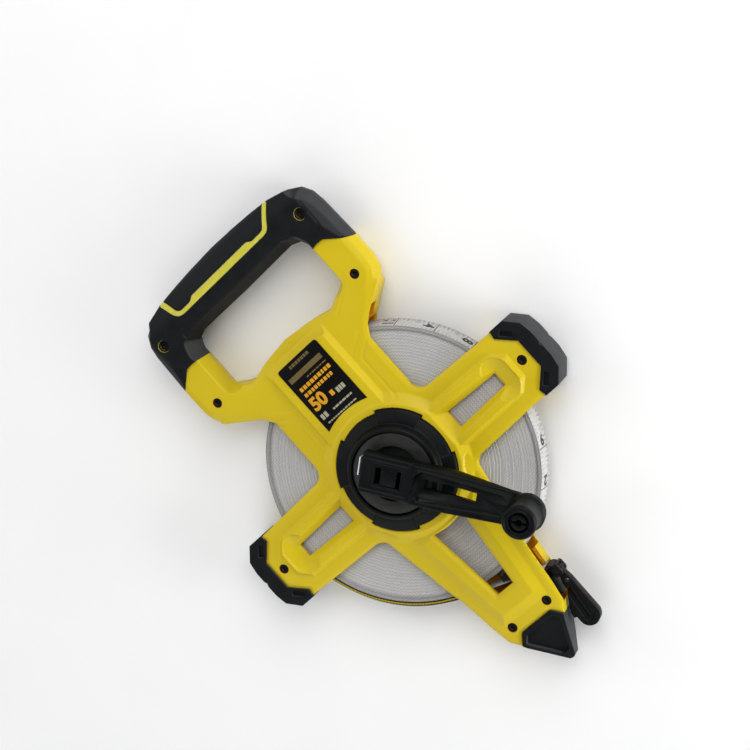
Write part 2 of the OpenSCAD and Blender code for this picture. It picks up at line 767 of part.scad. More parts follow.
module end_hook() {
    color(plastic_black) translate([0, 0, mid_z - 3.3]) difference() {
        union() {
            translate([hook_pivot[0], hook_pivot[1], 0]) cylinder(r = 2.5, h = 6.6);
            linear_extrude(6.6)
                polygon([[28, -109], [32, -109], [32, -114], [32.4, -117], [32.2, -142], [18.8, -142],
                         [18.8, -138.4], [17.2, -138], [17.6, -133.8], [18.8, -132.6], [18.8, -131.6],
                         [25.8, -121.6], [26.4, -117], [27.7, -114]]);
            translate([25.5, -142, 0]) cylinder(r = 6.7, h = 6.6);
        }
        translate([hook_pivot[0], hook_pivot[1], -1]) cylinder(r = hook_pin_r + running, h = 20);
        // long slot of the loop
        translate([0, 0, -1]) linear_extrude(20) {
            strip([27.4, -122], [24.9, -143], 1.8);
            translate([27.4, -122]) circle(0.9);
            translate([24.9, -143]) circle(0.9);
        }
        // eye
        translate([29.6, -117.4, -1]) cylinder(r = 1.5, h = 20);
    }
}

front_shell();
rear_shell();
shell_screws();
rear_cap();
label_plate();
grip_front();
grip_rear();
grip_inlay();
foot_right();
foot_left();
nose_foot();
mouth_block();
tape_guide();
hub_ring();
ring_gear();
axle_pin();
thrust_washer();
drum();
drum_bush();
sun_gear();
tape_roll();
crank_disc();
planet_carrier();
planet_pins();
planet_gear_1();
planet_gear_2();
planet_gear_3();
drive_post();
detent_spring();
crank_arm();
knob_pin();
knob();
tape_tail();
tape_clamp();
hook_pin();
end_hook();
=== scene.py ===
"""Open-frame surveyor's tape reel, lying on its back: the looks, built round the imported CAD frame.

Plan sizes are millimetres in the reel's own frame (Z up through the winding axis, Y toward the handle)
and are turned into metres by MM where a mesh is made. Most heights come from the boxes of the CAD nodes.
"""
import math
import random

import bmesh
import bpy
import numpy as np
from mathutils import Matrix, Vector


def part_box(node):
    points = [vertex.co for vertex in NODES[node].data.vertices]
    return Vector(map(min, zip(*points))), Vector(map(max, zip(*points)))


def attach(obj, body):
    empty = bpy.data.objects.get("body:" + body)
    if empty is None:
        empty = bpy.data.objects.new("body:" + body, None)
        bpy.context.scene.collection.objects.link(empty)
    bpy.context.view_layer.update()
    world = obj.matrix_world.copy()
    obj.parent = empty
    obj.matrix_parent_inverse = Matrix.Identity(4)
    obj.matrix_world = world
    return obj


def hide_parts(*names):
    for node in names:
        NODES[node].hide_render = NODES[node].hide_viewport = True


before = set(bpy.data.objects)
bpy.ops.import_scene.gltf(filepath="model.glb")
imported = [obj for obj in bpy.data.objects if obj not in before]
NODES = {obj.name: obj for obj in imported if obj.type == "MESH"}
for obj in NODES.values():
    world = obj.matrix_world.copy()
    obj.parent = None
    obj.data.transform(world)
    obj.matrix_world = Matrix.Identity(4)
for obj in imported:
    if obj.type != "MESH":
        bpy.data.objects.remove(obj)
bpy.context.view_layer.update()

MM = 0.001


def top_of(node):
    """Highest point of a CAD node, in millimetres."""
    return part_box(node)[1].z / MM


def bottom_of(node):
    """Lowest point of a CAD node, in millimetres."""
    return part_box(node)[0].z / MM


# Heights that the frame gives, in millimetres
BAND_Z = top_of("foot_right")
MID_Z = (top_of("tape_roll") + bottom_of("tape_roll")) / 2
ROLL_TOP_Z = top_of("tape_roll")
ROLL_LOW_Z = bottom_of("tape_roll")
ROLL_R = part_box("tape_roll")[1].x / MM
LABEL_TOP_Z = top_of("label_plate")
PANEL_H = 2.0
TRUNK_H = bottom_of("label_plate") - BAND_Z
COLLAR_H = top_of("front_shell") - BAND_Z
GRIP_TOP_Z = top_of("grip_front")
CUT_GAP = 0.03


def linked(name, data):
    """A new object in the scene that shows the data."""
    obj = bpy.data.objects.new(name, data)
    bpy.context.scene.collection.objects.link(obj)
    return obj


# ------------------------------------------------------------------ materials

# Sockets of the mixing node for colours, by number, because their names repeat for each kind of data
MIX_FACTOR, MIX_FIRST, MIX_SECOND, MIX_RESULT = 0, 6, 7, 2


def feed(tree, socket, value):
    """Sets a socket to a number or a colour, or links it to the socket that is given as its value."""
    if isinstance(value, bpy.types.NodeSocket):
        tree.links.new(value, socket)
    elif isinstance(value, tuple) and len(value) == 3:
        socket.default_value = (*value, 1)
    else:
        socket.default_value = value


def add_node(tree, kind, inputs=(), **settings):
    """A new node with its settings and inputs."""
    made = tree.nodes.new(kind)
    for key, value in settings.items():
        setattr(made, key, value)
    for key, value in dict(inputs).items():
        feed(tree, made.inputs[key], value)
    return made


class Shader:
    """A node material that ends in a Principled shader and is looked up in the piece's own coordinates."""

    def __init__(self, name, rough=0.5, metal=0.0, specular=0.5):
        self.mat = bpy.data.materials.new(name)
        self.mat.use_nodes = True
        self.tree = self.mat.node_tree
        self.main = self.tree.nodes["Principled BSDF"]
        self.main.inputs["Roughness"].default_value = rough
        self.main.inputs["Metallic"].default_value = metal
        self.main.inputs["Specular IOR Level"].default_value = specular
        self.where = self.tree.nodes.new("ShaderNodeTexCoord").outputs["Object"]

    def node(self, kind, inputs=(), **settings):
        return add_node(self.tree, kind, inputs, **settings)

    def noise(self, size_mm, detail=2.0, rough=0.5):
        """Noise whose features are about size_mm across."""
        return self.node("ShaderNodeTexNoise", {"Vector": self.where, "Scale": 1 / (size_mm * MM),
                                                "Detail": detail, "Roughness": rough}).outputs["Fac"]

    def ramp(self, value, low, high, to_low=0.0, to_high=1.0):
        """The value stretched from low and high to the new ends, and held there."""
        return self.node("ShaderNodeMapRange", {"Value": value, "From Min": low, "From Max": high,
                                                "To Min": to_low, "To Max": to_high}).outputs["Result"]

    def mix(self, factor, first, second):
        """The colour that lies the given part of the way from first to second."""
        inputs = {MIX_FACTOR: factor, MIX_FIRST: first, MIX_SECOND: second}
        return self.node("ShaderNodeMix", inputs, data_type="RGBA", clamp_result=False).outputs[MIX_RESULT]

    def math(self, kind, *values):
        return self.node("ShaderNodeMath", dict(enumerate(values)), operation=kind).outputs[0]

    def split(self, where=None):
        """The x, y and z of a point."""
        return self.node("ShaderNodeSeparateXYZ", {"Vector": where or self.where}).outputs

    def colour(self, value):
        self.put("Base Color", value)

    def put(self, socket, value):
        feed(self.tree, self.main.inputs[socket], value)

    def bump(self, height, depth_mm, strength):
        inputs = {"Height": height, "Distance": depth_mm * MM, "Strength": strength}
        self.put("Normal", self.node("ShaderNodeBump", inputs).outputs["Normal"])


def srgb(r, g, b):
    """Linear colour from the 0 to 255 values that a picture shows."""

    def one(c):
        c /= 255
        return c / 12.92 if c <= 0.04045 else ((c + 0.055) / 1.055) ** 2.4

    return one(r), one(g), one(b)


def yellow_plastic():
    """Satin yellow moulding: fine eroded grain, cloudy flow variation, faint scuffs."""
    m = Shader("yellow_shell", rough=0.42, specular=0.3)
    cloud = m.ramp(m.noise(38, 3), 0.3, 0.7)
    base = m.mix(cloud, srgb(206, 180, 14), srgb(212, 188, 20))
    speck = m.ramp(m.noise(0.9, 2), 0.35, 0.75)
    m.colour(m.mix(m.math("MULTIPLY", speck, 0.14), base, srgb(196, 164, 8)))
    scuff = m.ramp(m.noise(5, 5, 0.65), 0.45, 0.75)
    m.put("Roughness", m.ramp(scuff, 0, 1, 0.38, 0.5))
    m.bump(m.noise(0.55, 3), 0.05, 0.35)
    return m.mat


def black_rubber():
    """Soft black rubber: fine leathery grain, dusty patches, and painted light that makes the faces turned to
    the left and right paler.
    """
    m = Shader("rubber", rough=0.6, specular=0.15)
    dust = m.ramp(m.noise(7, 4, 0.6), 0.35, 0.75)
    face = m.mix(dust, srgb(9, 11, 13), srgb(20, 22, 24))
    normal = m.split(m.tree.nodes.new("ShaderNodeTexCoord").outputs["Normal"])
    # painted light: faces turned to the left and right are mixed toward a paler grey in place of the side
    # lamps' light on them
    side = m.ramp(m.math("ABSOLUTE", normal["X"]), 0.4, 0.8)
    m.colour(m.mix(m.math("MULTIPLY", side, 0.7), face, srgb(68, 69, 72)))
    m.put("Roughness", m.ramp(dust, 0, 1, 0.52, 0.68))
    m.bump(m.noise(0.7, 3), 0.08, 0.4)
    return m.mat


def mottled(name, first, second, patches, span, rough, specular, grain=None):
    """A finish that wanders between two colours, rougher where it nears the second, with a fine grain.

    patches are the noise's size in mm, detail and roughness; span is the part of it that shows; rough is one
    value or two; grain is the size and detail of the bumps, their depth in mm and their strength.
    """
    m = Shader(name, rough=rough[0], specular=specular)
    cloud = m.ramp(m.noise(*patches), *span)
    m.colour(m.mix(cloud, srgb(*first), srgb(*second)))
    if len(rough) > 1:
        m.put("Roughness", m.ramp(cloud, 0, 1, *rough))
    if grain:
        m.bump(m.noise(*grain[:2]), *grain[2:])
    return m.mat


def metal(name, light, dark, rough):
    """Metal with fine light and dark marks and patches of duller finish."""
    m = Shader(name, rough=rough, metal=1.0)
    marks = m.noise(0.35, 4, 0.7)
    m.colour(m.mix(m.ramp(marks, 0.3, 0.75), dark, light))
    m.put("Roughness", m.ramp(m.noise(2.0, 3), 0.3, 0.7, rough - 0.08, rough + 0.1))
    m.bump(marks, 0.02, 0.3)
    return m.mat


# Weave on the side of the wound tape: millimetres between its rows, and zigzags round the roll
ROW_PITCH, ZIGZAGS = 2.0, 220


def wound_tape():
    """Edges of the wound glass-fibre tape: grey-white rows with a zigzag weave along each wrap."""
    m = Shader("tape", rough=0.62, specular=0.3)
    x, y, _ = m.split()
    radius = m.math("SQRT", m.math("ADD", m.math("MULTIPLY", x, x), m.math("MULTIPLY", y, y)))
    angle = m.math("ARCTAN2", y, x)
    zigzag = m.math("PINGPONG", m.math("MULTIPLY", angle, ZIGZAGS / (2 * math.pi)), 0.5)
    drift = m.math("MULTIPLY", m.noise(9, 2), 1.1)
    row = m.math("ADD", m.math("MULTIPLY", radius, 1 / (ROW_PITCH * MM)), m.math("ADD", zigzag, drift))
    wave = m.math("SINE", m.math("MULTIPLY", row, 2 * math.pi))
    weave = m.noise(0.8, 4, 0.7)
    base = m.mix(m.ramp(weave, 0.3, 0.7), srgb(172, 171, 170), srgb(204, 203, 203))
    line = m.math("MULTIPLY", m.ramp(wave, 0.1, 0.95), m.ramp(weave, 0.35, 0.65, 0.1, 0.6))
    m.colour(m.mix(line, base, srgb(104, 102, 101)))
    m.bump(m.math("SUBTRACT", weave, m.math("MULTIPLY", wave, 0.3)), 0.15, 0.5)
    return m.mat


MATERIALS = {
    "yellow_shell": yellow_plastic(),
    "rubber": black_rubber(),
    "tape": wound_tape(),
    "steel": metal("steel", srgb(205, 207, 210), srgb(150, 152, 156), 0.32),
    "black_steel": metal("black_steel", srgb(52, 50, 48), srgb(28, 27, 26), 0.45),
    "bright_steel": metal("bright_steel", srgb(250, 250, 250), srgb(228, 229, 231), 0.55),
    "gear_steel": metal("gear_steel", srgb(170, 172, 176), srgb(120, 122, 126), 0.38),
    "brass": metal("brass", srgb(205, 170, 95), srgb(160, 125, 60), 0.34),
}
for finish in (
        # painted light: the yellow moulding where it faces inward, rougher and painted a deeper orange that
        # stands for light bounced between the yellow walls
        ("yellow_painted_bounce", (226, 150, 6), (234, 160, 8), (20, 3), (0.3, 0.7), (0.6,), 0.15,
         (0.7, 3, 0.05, 0.35)),
        # satin black moulding, and for the disc a lighter, warmer grey with a stronger specular
        ("black_plastic", (6, 8, 9), (12, 14, 15), (9, 4, 0.6), (0.35, 0.7), (0.36, 0.5), 0.13,
         (0.5, 3, 0.05, 0.3)),
        ("disc", (24, 25, 25), (40, 40, 36), (6, 5, 0.65), (0.35, 0.7), (0.4, 0.58), 0.45,
         (0.5, 3, 0.05, 0.3)),
        # yellow-green rubber of the grip's stripe
        ("inlay", (196, 190, 52), (208, 201, 66), (3, 3), (0.3, 0.7), (0.5,), 0.4, (0.6, 3, 0.05, 0.4)),
        # near-black vinyl with a faint speckle and a slightly wavy surface
        ("label", (3, 3, 3), (8, 7, 6), (0.4, 2), (0.4, 0.7), (0.45,), 0.12, (6, 2, 0.08, 0.3)),
        # white coated face of the tape, with the weave showing through
        ("tape_face", (196, 195, 193), (214, 213, 211), (0.6, 3), (0.3, 0.7), (0.5,), 0.4,
         (0.5, 3, 0.05, 0.4)),
        # inks with a slightly broken cover
        ("ink", (58, 58, 60), (38, 38, 40), (0.35, 3), (0.3, 0.6), (0.5,), 0.3),
        ("amber_ink", (190, 130, 20), (222, 160, 28), (0.35, 3), (0.3, 0.6), (0.5,), 0.3),
        ("gold_ink", (80, 68, 36), (112, 96, 52), (0.35, 3), (0.3, 0.6), (0.5,), 0.3),
        ("pale_ink", (140, 136, 116), (176, 172, 150), (0.35, 3), (0.3, 0.6), (0.5,), 0.3)):
    MATERIALS[finish[0]] = mottled(*finish)


def dress_cad_nodes():
    """Every carried-over CAD node gets its procedural material."""
    for obj in NODES.values():
        for material_slot in obj.material_slots:
            name = material_slot.material.name.split(".")[0]
            material_slot.material = MATERIALS[name]
    # partly painted shade: the shell's screws get black steel for the dark of their deep holes, as well as
    # for their own finish
    NODES["shell_screws"].material_slots[0].material = MATERIALS["black_steel"]


# ------------------------------------------------------------------ studio

# Brightness of the room at the horizon and overhead, and the height (1 is straight up) where it stops falling
SKY_LOW, SKY_HIGH, SKY_TOP = 0.72, 0.1, 0.75
FLOOR_SIZE, FLOOR_DROP = 12, 0.0004
# Soft lamps: name, direction in the plan in degrees, distance, height and size in metres, power in watts
LAMPS = (("key", 32, 1.05, 1.0, 1.3, 13.4),
         ("side", 120, 1.1, 0.9, 1.2, 5.0),
         ("fill", 215, 1.1, 0.9, 1.4, 7.0),
         ("rim", -50, 1.1, 0.15, 0.6, 11.0))
LAMP_AIM = Vector((0.005, 0.02, 0.02))
# Camera: focal length in millimetres, its place and aim in metres, and the direction of the picture's top
CAMERA_LENS = 94.06
CAMERA_PLACE = Vector((0.468635, 0.024247, 1.113709))
CAMERA_AIM = Vector((0.0292, 0.0513, 0.026))
PICTURE_TOP = math.radians(45.83)


def studio():
    """White floor, soft light from the picture's top, and the photograph's camera."""
    scene = bpy.context.scene
    scene.view_settings.view_transform = "Standard"

    bpy.ops.mesh.primitive_plane_add(size=FLOOR_SIZE, location=(0, 0, -FLOOR_DROP))
    floor = bpy.context.object
    floor.name = "studio_floor"
    m = Shader("studio_floor", rough=0.9, specular=0.1)
    m.colour(m.mix(m.ramp(m.noise(60, 2), 0.3, 0.7), (0.97, 0.97, 0.97), (0.99, 0.99, 0.99)))
    floor.data.materials.append(m.mat)

    # a room that is bright round the horizon and dark overhead, as round a product table
    world = bpy.data.worlds.new("studio_sky")
    world.use_nodes = True
    tree = world.node_tree
    direction = tree.nodes.new("ShaderNodeTexCoord").outputs["Generated"]
    height = add_node(tree, "ShaderNodeSeparateXYZ", {"Vector": direction}).outputs["Z"]
    fade = add_node(tree, "ShaderNodeMapRange", {"Value": height, "From Min": 0, "From Max": SKY_TOP,
                                                 "To Min": SKY_LOW, "To Max": SKY_HIGH})
    feed(tree, tree.nodes["Background"].inputs["Strength"], fade.outputs["Result"])
    feed(tree, tree.nodes["Background"].inputs["Color"], (1, 1, 1))
    scene.world = world

    for name, direction, distance, height, size, power in LAMPS:
        turn = math.radians(direction)
        place = Vector((math.cos(turn) * distance, math.sin(turn) * distance, height))
        data = bpy.data.lights.new(name, "AREA")
        data.size = size
        data.energy = power
        lamp = linked(name, data)
        lamp.location = LAMP_AIM + place
        lamp.rotation_euler = (-place).to_track_quat("-Z", "Y").to_euler()

    data = bpy.data.cameras.new("camera")
    data.lens = CAMERA_LENS
    data.sensor_width = 36
    camera = linked("camera", data)
    picture_up = Vector((math.cos(PICTURE_TOP), math.sin(PICTURE_TOP), 0))
    back = (CAMERA_PLACE - CAMERA_AIM).normalized()
    right = picture_up.cross(back).normalized()
    turned = Matrix((right, back.cross(right), back)).transposed().to_4x4()
    camera.matrix_world = Matrix.Translation(CAMERA_PLACE) @ turned
    scene.camera = camera


# ------------------------------------------------------------------ mesh helpers

def mesh_from(bm):
    """A mesh made of the bmesh, which is used up."""
    mesh = bpy.data.meshes.new("working")
    bm.to_mesh(mesh)
    bm.free()
    return mesh


def bmesh_from(mesh):
    """A bmesh made of the mesh, which is used up."""
    bm = bmesh.new()
    bm.from_mesh(mesh)
    bpy.data.meshes.remove(mesh)
    return bm


def values_of(items, name):
    """The x, y, z values of that name of all vertices or faces, in millimetres, one row each."""
    values = np.zeros(len(items) * 3)
    items.foreach_get(name, values)
    return values.reshape(-1, 3) / MM


def new_object(name, bm_or_mesh, material, body="frame", node=None, smooth_angle=30):
    """Links a mesh as a piece of the given body, with its material, and hides the node it stands for."""
    mesh = mesh_from(bm_or_mesh) if isinstance(bm_or_mesh, bmesh.types.BMesh) else bm_or_mesh
    mesh.name = name
    obj = linked(name, mesh)
    obj.data.materials.clear()
    obj.data.materials.append(MATERIALS[material])
    if smooth_angle:
        mesh.shade_smooth()
        mesh.set_sharp_from_angle(angle=math.radians(smooth_angle))
    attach(obj, body)
    if node:
        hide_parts(node)
    return obj


def copy_of(node):
    """The CAD node's mesh as a clean, closed bmesh."""
    bm = bmesh.new()
    bm.from_mesh(NODES[node].data)
    bmesh.ops.remove_doubles(bm, verts=bm.verts, dist=0.002 * MM)
    return bm


def apply_all(obj):
    """Bakes the object's modifiers into its mesh."""
    graph = bpy.context.evaluated_depsgraph_get()
    mesh = bpy.data.meshes.new_from_object(obj.evaluated_get(graph))
    obj.modifiers.clear()
    old = obj.data
    obj.data = mesh
    bpy.data.meshes.remove(old)


def boolean(obj, cutter):
    """Cuts the cutter out of obj, bakes the result and removes the cutter."""
    mod = obj.modifiers.new("cut", "BOOLEAN")
    mod.operation = "DIFFERENCE"
    mod.solver = "MANIFOLD"
    mod.object = cutter
    bpy.context.view_layer.update()
    apply_all(obj)
    bpy.data.objects.remove(cutter)


# A relief's cutter reaches this far past the piece in plan, and up or down to one point this far away
CUTTER_MARGIN, CUTTER_FAR = 5.0, 500


def loose(bm):
    """A working object that isn't a piece, such as a cutter."""
    return linked("working", mesh_from(bm))


def grid_solid(xs, ys, zs, apex):
    """A closed solid between the surface zs over the grid xs, ys and one far point, all in millimetres."""
    nx, ny = len(xs), len(ys)
    gx, gy = np.meshgrid(xs, ys, indexing="ij")
    points = np.stack([gx, gy, zs], -1).reshape(-1, 3) * MM
    points = np.vstack([points, np.array(apex) * MM])
    a = (np.arange(nx - 1)[:, None] * ny + np.arange(ny - 1)[None, :]).ravel()
    quads = np.stack([a, a + ny, a + ny + 1, a + 1], 1)
    tris = np.vstack([quads[:, [0, 1, 2]], quads[:, [0, 2, 3]]])
    rim = np.concatenate([np.arange(nx) * ny, (nx - 1) * ny + np.arange(1, ny),
                          (np.arange(nx - 2, -1, -1)) * ny + ny - 1, np.arange(ny - 2, -1, -1)])
    tip = nx * ny
    fan = np.stack([rim[1:], rim[:-1], np.full(len(rim) - 1, tip)], 1)
    mesh = bpy.data.meshes.new("cutter")
    mesh.from_pydata(points.tolist(), [], np.vstack([tris, fan]).tolist())
    bm = bmesh_from(mesh)
    bmesh.ops.recalc_face_normals(bm, faces=bm.faces)
    return bm


def relief_cut(obj, relief, pitch=0.6, flip=None):
    """Cuts away everything of obj above the surface relief(x, y). flip is the plane that mirrors it."""
    low = np.array(obj.bound_box[0]) / MM - CUTTER_MARGIN
    high = np.array(obj.bound_box[6]) / MM + CUTTER_MARGIN
    xs = np.arange(low[0], high[0] + pitch, pitch)
    ys = np.arange(low[1], high[1] + pitch, pitch)
    zs = relief(*np.meshgrid(xs, ys, indexing="ij"))
    far = CUTTER_FAR
    if flip is not None:
        zs = 2 * flip - zs
        far = -CUTTER_FAR
    boolean(obj, loose(grid_solid(xs, ys, zs, (xs.mean(), ys.mean(), far))))


# ------------------------------------------------------------------ plan functions

def smooth_min(a, b, k):
    """The lower of two surfaces, rounded over a height k where they cross."""
    h = np.clip(0.5 + 0.5 * (b - a) / k, 0, 1)
    return b * (1 - h) + a * h - k * h * (1 - h)


def smooth_max(a, b, k):
    """The higher of two surfaces, rounded in the same way."""
    return -smooth_min(-a, -b, k)


def groove(distance, half_width):
    """1 on a line and 0 from half_width away, for pressed lines and rounded rims."""
    return np.clip(1 - distance / half_width, 0, 1)


def smooth_step(value, low, high):
    """0 up to low, 1 from high on, and an even S between them."""
    t = np.clip((value - low) / (high - low), 0, 1)
    return t * t * (3 - 2 * t)


def line_distance(x, y, points):
    """Distance from each x, y to an open line through the points."""
    best = np.full(np.shape(x), 1e9)
    for (x0, y0), (x1, y1) in zip(points[:-1], points[1:]):
        dx, dy = x1 - x0, y1 - y0
        squared = dx * dx + dy * dy
        if squared < 1e-12:
            continue
        t = np.clip(((x - x0) * dx + (y - y0) * dy) / squared, 0, 1)
        best = np.minimum(best, (x - x0 - t * dx) ** 2 + (y - y0 - t * dy) ** 2)
    return np.sqrt(best)


def side_distance(x, y, points, spare):
    """Distance from one side of an open line, which goes on falling for a stretch spare beyond the line.

    A positive spare lies to the right of the line's direction, a negative one to the left.
    """
    moved = []
    for i, (px, py) in enumerate(points):
        (x0, y0), (x1, y1) = points[max(i - 1, 0)], points[min(i + 1, len(points) - 1)]
        length = math.hypot(x1 - x0, y1 - y0)
        moved.append((px + spare * (y1 - y0) / length, py - spare * (x1 - x0) / length))
    return line_distance(x, y, moved) - abs(spare)


def inside(x, y, corners):
    """How far x, y lies inside a convex outline whose corners run anticlockwise; negative outside."""
    depth = np.full(np.shape(x), 1e9)
    for (x0, y0), (x1, y1) in zip(corners, corners[1:] + corners[:1]):
        dx, dy = x1 - x0, y1 - y0
        depth = np.minimum(depth, (dx * (y - y0) - dy * (x - x0)) / math.hypot(dx, dy))
    return depth


def arm_outline(right_half):
    """Closed outline that mirrors the points across the X axis, anticlockwise."""
    return [(x, -y) for x, y in right_half] + right_half[::-1]


def limb_outline(right_half):
    """Closed outline that mirrors the points across the Y axis; the points run downward."""
    return [(-x, y) for x, y in right_half] + right_half[::-1]


# ------------------------------------------------------------------ yellow shells

# Where the sloping sides of the arms' windows start, at the hub's end and at the outer end
WINDOW_INNER, WINDOW_OUTER = (47, 6), (85.3, 4.6)
ARM_PANEL = arm_outline([(38, 15.9), (91, 14.9), (98.8, 8)])
ARM_WINDOW = arm_outline([WINDOW_INNER, WINDOW_OUTER])
LIMB_TOP_Y = -40
LIMB_PANEL = limb_outline([(25.9, LIMB_TOP_Y), (20.9, -80), (16.3, -113.3)])
LIMB_WINDOW = limb_outline([(13, LIMB_TOP_Y), (6.5, -97)])
TRUNK_PANEL = [(-24.3, 34), (24.3, 34), (24.3, 96.5), (-24.3, 96.5)]
TRUNK_FROM_Y = 20
COLLAR_R, CONE_TOP_R = 46, 40.8
# Slopes, in millimetres of height for a millimetre of plan
ARM_SLOPE, LIMB_SLOPE, TRUNK_SLOPE = 1.3, 0.45, 1.15
FUNNEL_SIDE_SLOPE, FUNNEL_END_SLOPE, LIP_SLOPE = 1.27, 0.8, 0.75
# How deep the arms' windows start below the band and the limb's below its panel, and how far the first reach
FUNNEL_SINK, LIP_SINK, FUNNEL_REACH = 3, 1.5, 12
# Heights over which two faces round into each other
SHARP_CREASE, CREASE, WINDOW_CREASE, COLLAR_CREASE = 0.25, 0.3, 0.35, 0.5

# Outer edge of the right leg and of the handle, and edge of the finger opening, as open lines
LEG_EDGE = [(44, 74), (46, 77), (58, 85), (68, 91), (74, 97), (76, 104), (76.3, 120), (75.6, 145)]
HANDLE_EDGE = [(76.3, 120), (75.6, 140), (75.2, 150), (74, 158), (70.2, 164.5), (62, 169.3), (50, 172.7),
               (36, 174.4), (20, 175.7), (0, 176.5)]
OPENING_EDGE = [(0, 104), (20, 101.8), (32, 98.8), (36, 98.2), (43, 102), (49, 107.5), (49, 136), (46.5, 141),
                (40, 143.5), (0, 143)]
# Bevels along the edges: width in plan and drop at the edge itself
EDGE_WIDTH, EDGE_DROP = 5.0, 1.6
LEG_WIDTH, LEG_DROP = 8.5, 3.15
OPENING_WIDTH, OPENING_DROP = 7.2, 1.75
BEVEL_REACH = 3
# Sides: height of their widest line, slope of the outer sides, slope of the opening's sides
FRONT_SIDES = (18.5, 2.0, 2.7)
REAR_SIDES = (MID_Z - 1.8, 3.0, 3.0)
INNER_SIDE_Z = MID_Z + 0.4
# Stretch past an edge over which a side goes on falling, and a height that keeps a side out of the way
SPARE, FAR_ABOVE = 1.5, 20
RIM_WIDTH, RIM_DROP, NO_RIM = 0.8, 0.45, 9
# Pressed lines beside the trunk and on the legs: points, half width, depth
PRESSED_LINES = ((((30, 33), (30, 63.5), (39, 70)), 1.3, 0.5),
                 (((25.5, 68.5), (41, 78)), 1.4, 0.22),
                 (((56, 110), (52, 103), (45, 98), (35, 92)), 1.2, 0.22))

SCREWS = [(104, 0), (62, 104), (14.3, -118)]
GRIP_SCREW = (62.4, 152)
# Parts of a slice through the shell that aren't its outer edge
ARM_HOLE_X, ARM_HOLE_Y = (46, 87), 8
LIMB_HOLE_X, LIMB_HOLE_Y = 15, (-99, -38)
SCREW_HOLE_R, HUB_HOLE_R, LEGS_FROM_Y = 4.2, COLLAR_R - 0.6, 76.5
# A face of the shell is an inner one when it lies this deep under the relief and this far from the edges
INNER_DEPTH, INNER_FROM_EDGE = 0.8, 0.12


def on_outer_edge(x, y):
    """Whether a point of a slice, with x taken positive, belongs to the frame's edge below the legs."""
    arm_hole = ARM_HOLE_X[0] < x < ARM_HOLE_X[1] and abs(y) < ARM_HOLE_Y
    limb_hole = x < LIMB_HOLE_X and LIMB_HOLE_Y[0] < y < LIMB_HOLE_Y[1]
    screw_hole = any(math.hypot(x - sx, y - sy) < SCREW_HOLE_R for sx, sy in SCREWS)
    hole = math.hypot(x, y) < HUB_HOLE_R or arm_hole or limb_hole or screw_hole
    return not hole and y <= LEGS_FROM_Y


def frame_edge(plan_z):
    """Outer edge of the frame below the legs, as short runs, from a slice through the front shell."""
    mesh = NODES["front_shell"].data
    corners = values_of(mesh.vertices, "co")
    mesh.calc_loop_triangles()
    runs = []
    for a, b, c in corners[np.array([t.vertices for t in mesh.loop_triangles])]:
        if min(a[2], b[2], c[2]) >= plan_z or max(a[2], b[2], c[2]) <= plan_z:
            continue
        ends = []
        for p, q in ((a, b), (b, c), (c, a)):
            if (p[2] - plan_z) * (q[2] - plan_z) < 0:
                t = (plan_z - p[2]) / (q[2] - p[2])
                ends.append(p[:2] + t * (q[:2] - p[:2]))
        if len(ends) != 2 or math.dist(*ends) <= 0.01:
            continue
        (x0, y0), (x1, y1) = ends
        if on_outer_edge((abs(x0) + abs(x1)) / 2, (y0 + y1) / 2):
            runs.append(ends)
    return runs


def edge_distance(x, y, runs):
    """Distance to the nearest of many short runs."""
    best = np.full(x.shape, 1e9)
    for run in runs:
        best = np.minimum(best, line_distance(x, y, run))
    return best


def panel(depth, slope, height):
    """A raised panel with sloping edges on the band, from the depth inside the panel's outline."""
    return BAND_Z + np.clip(depth * slope, -1, height)


def raised_panels(x, y, trunk_h, collar_h):
    """The bands, with the panels of the arms, limb and trunk and the cone round the hub."""
    top = panel(inside(np.abs(x), y, ARM_PANEL), ARM_SLOPE, PANEL_H)
    top = smooth_max(top, panel(inside(x, y, LIMB_PANEL), LIMB_SLOPE, PANEL_H), CREASE)
    trunk = panel(inside(x, y, TRUNK_PANEL), TRUNK_SLOPE, trunk_h)
    top = np.where(y > TRUNK_FROM_Y, smooth_max(top, trunk, CREASE), top)
    cone = panel(COLLAR_R - np.hypot(x, y), collar_h / (COLLAR_R - CONE_TOP_R), collar_h)
    return smooth_max(top, cone, COLLAR_CREASE)


def with_windows(top, x, y):
    """Sinks the long sloping sides of the arms' windows and the lip of the limb's window."""
    ax = np.abs(x)
    (x0, y0), (x1, y1) = WINDOW_INNER, WINDOW_OUTER
    side = np.abs(y) - (y0 - (ax - x0) * (y0 - y1) / (x1 - x0))
    end = np.maximum(x0 - ax, ax - x1)
    funnel = BAND_Z - FUNNEL_SINK + np.maximum(side * FUNNEL_SIDE_SLOPE, end * FUNNEL_END_SLOPE)
    near = -inside(ax, y, ARM_WINDOW) < FUNNEL_REACH
    top = np.where(near, smooth_min(top, funnel, WINDOW_CREASE), top)
    r = np.hypot(x, y)
    outside = np.maximum(-np.minimum(inside(x, y, LIMB_WINDOW), r - COLLAR_R), 0)
    lip = BAND_Z + PANEL_H - LIP_SINK + outside * LIP_SLOPE
    on_limb = (y < LIMB_TOP_Y) & (r > COLLAR_R - 0.5)
    return np.where(on_limb, smooth_min(top, lip, CREASE), top)


def bevelled(top, distance, width, drop):
    """Lowers the surface toward an edge: by drop at the edge, and by nothing from width away."""
    bevel = BAND_Z - drop * (1 - distance / width)
    return np.where(distance < width + BEVEL_REACH, smooth_min(top, bevel, SHARP_CREASE), top)


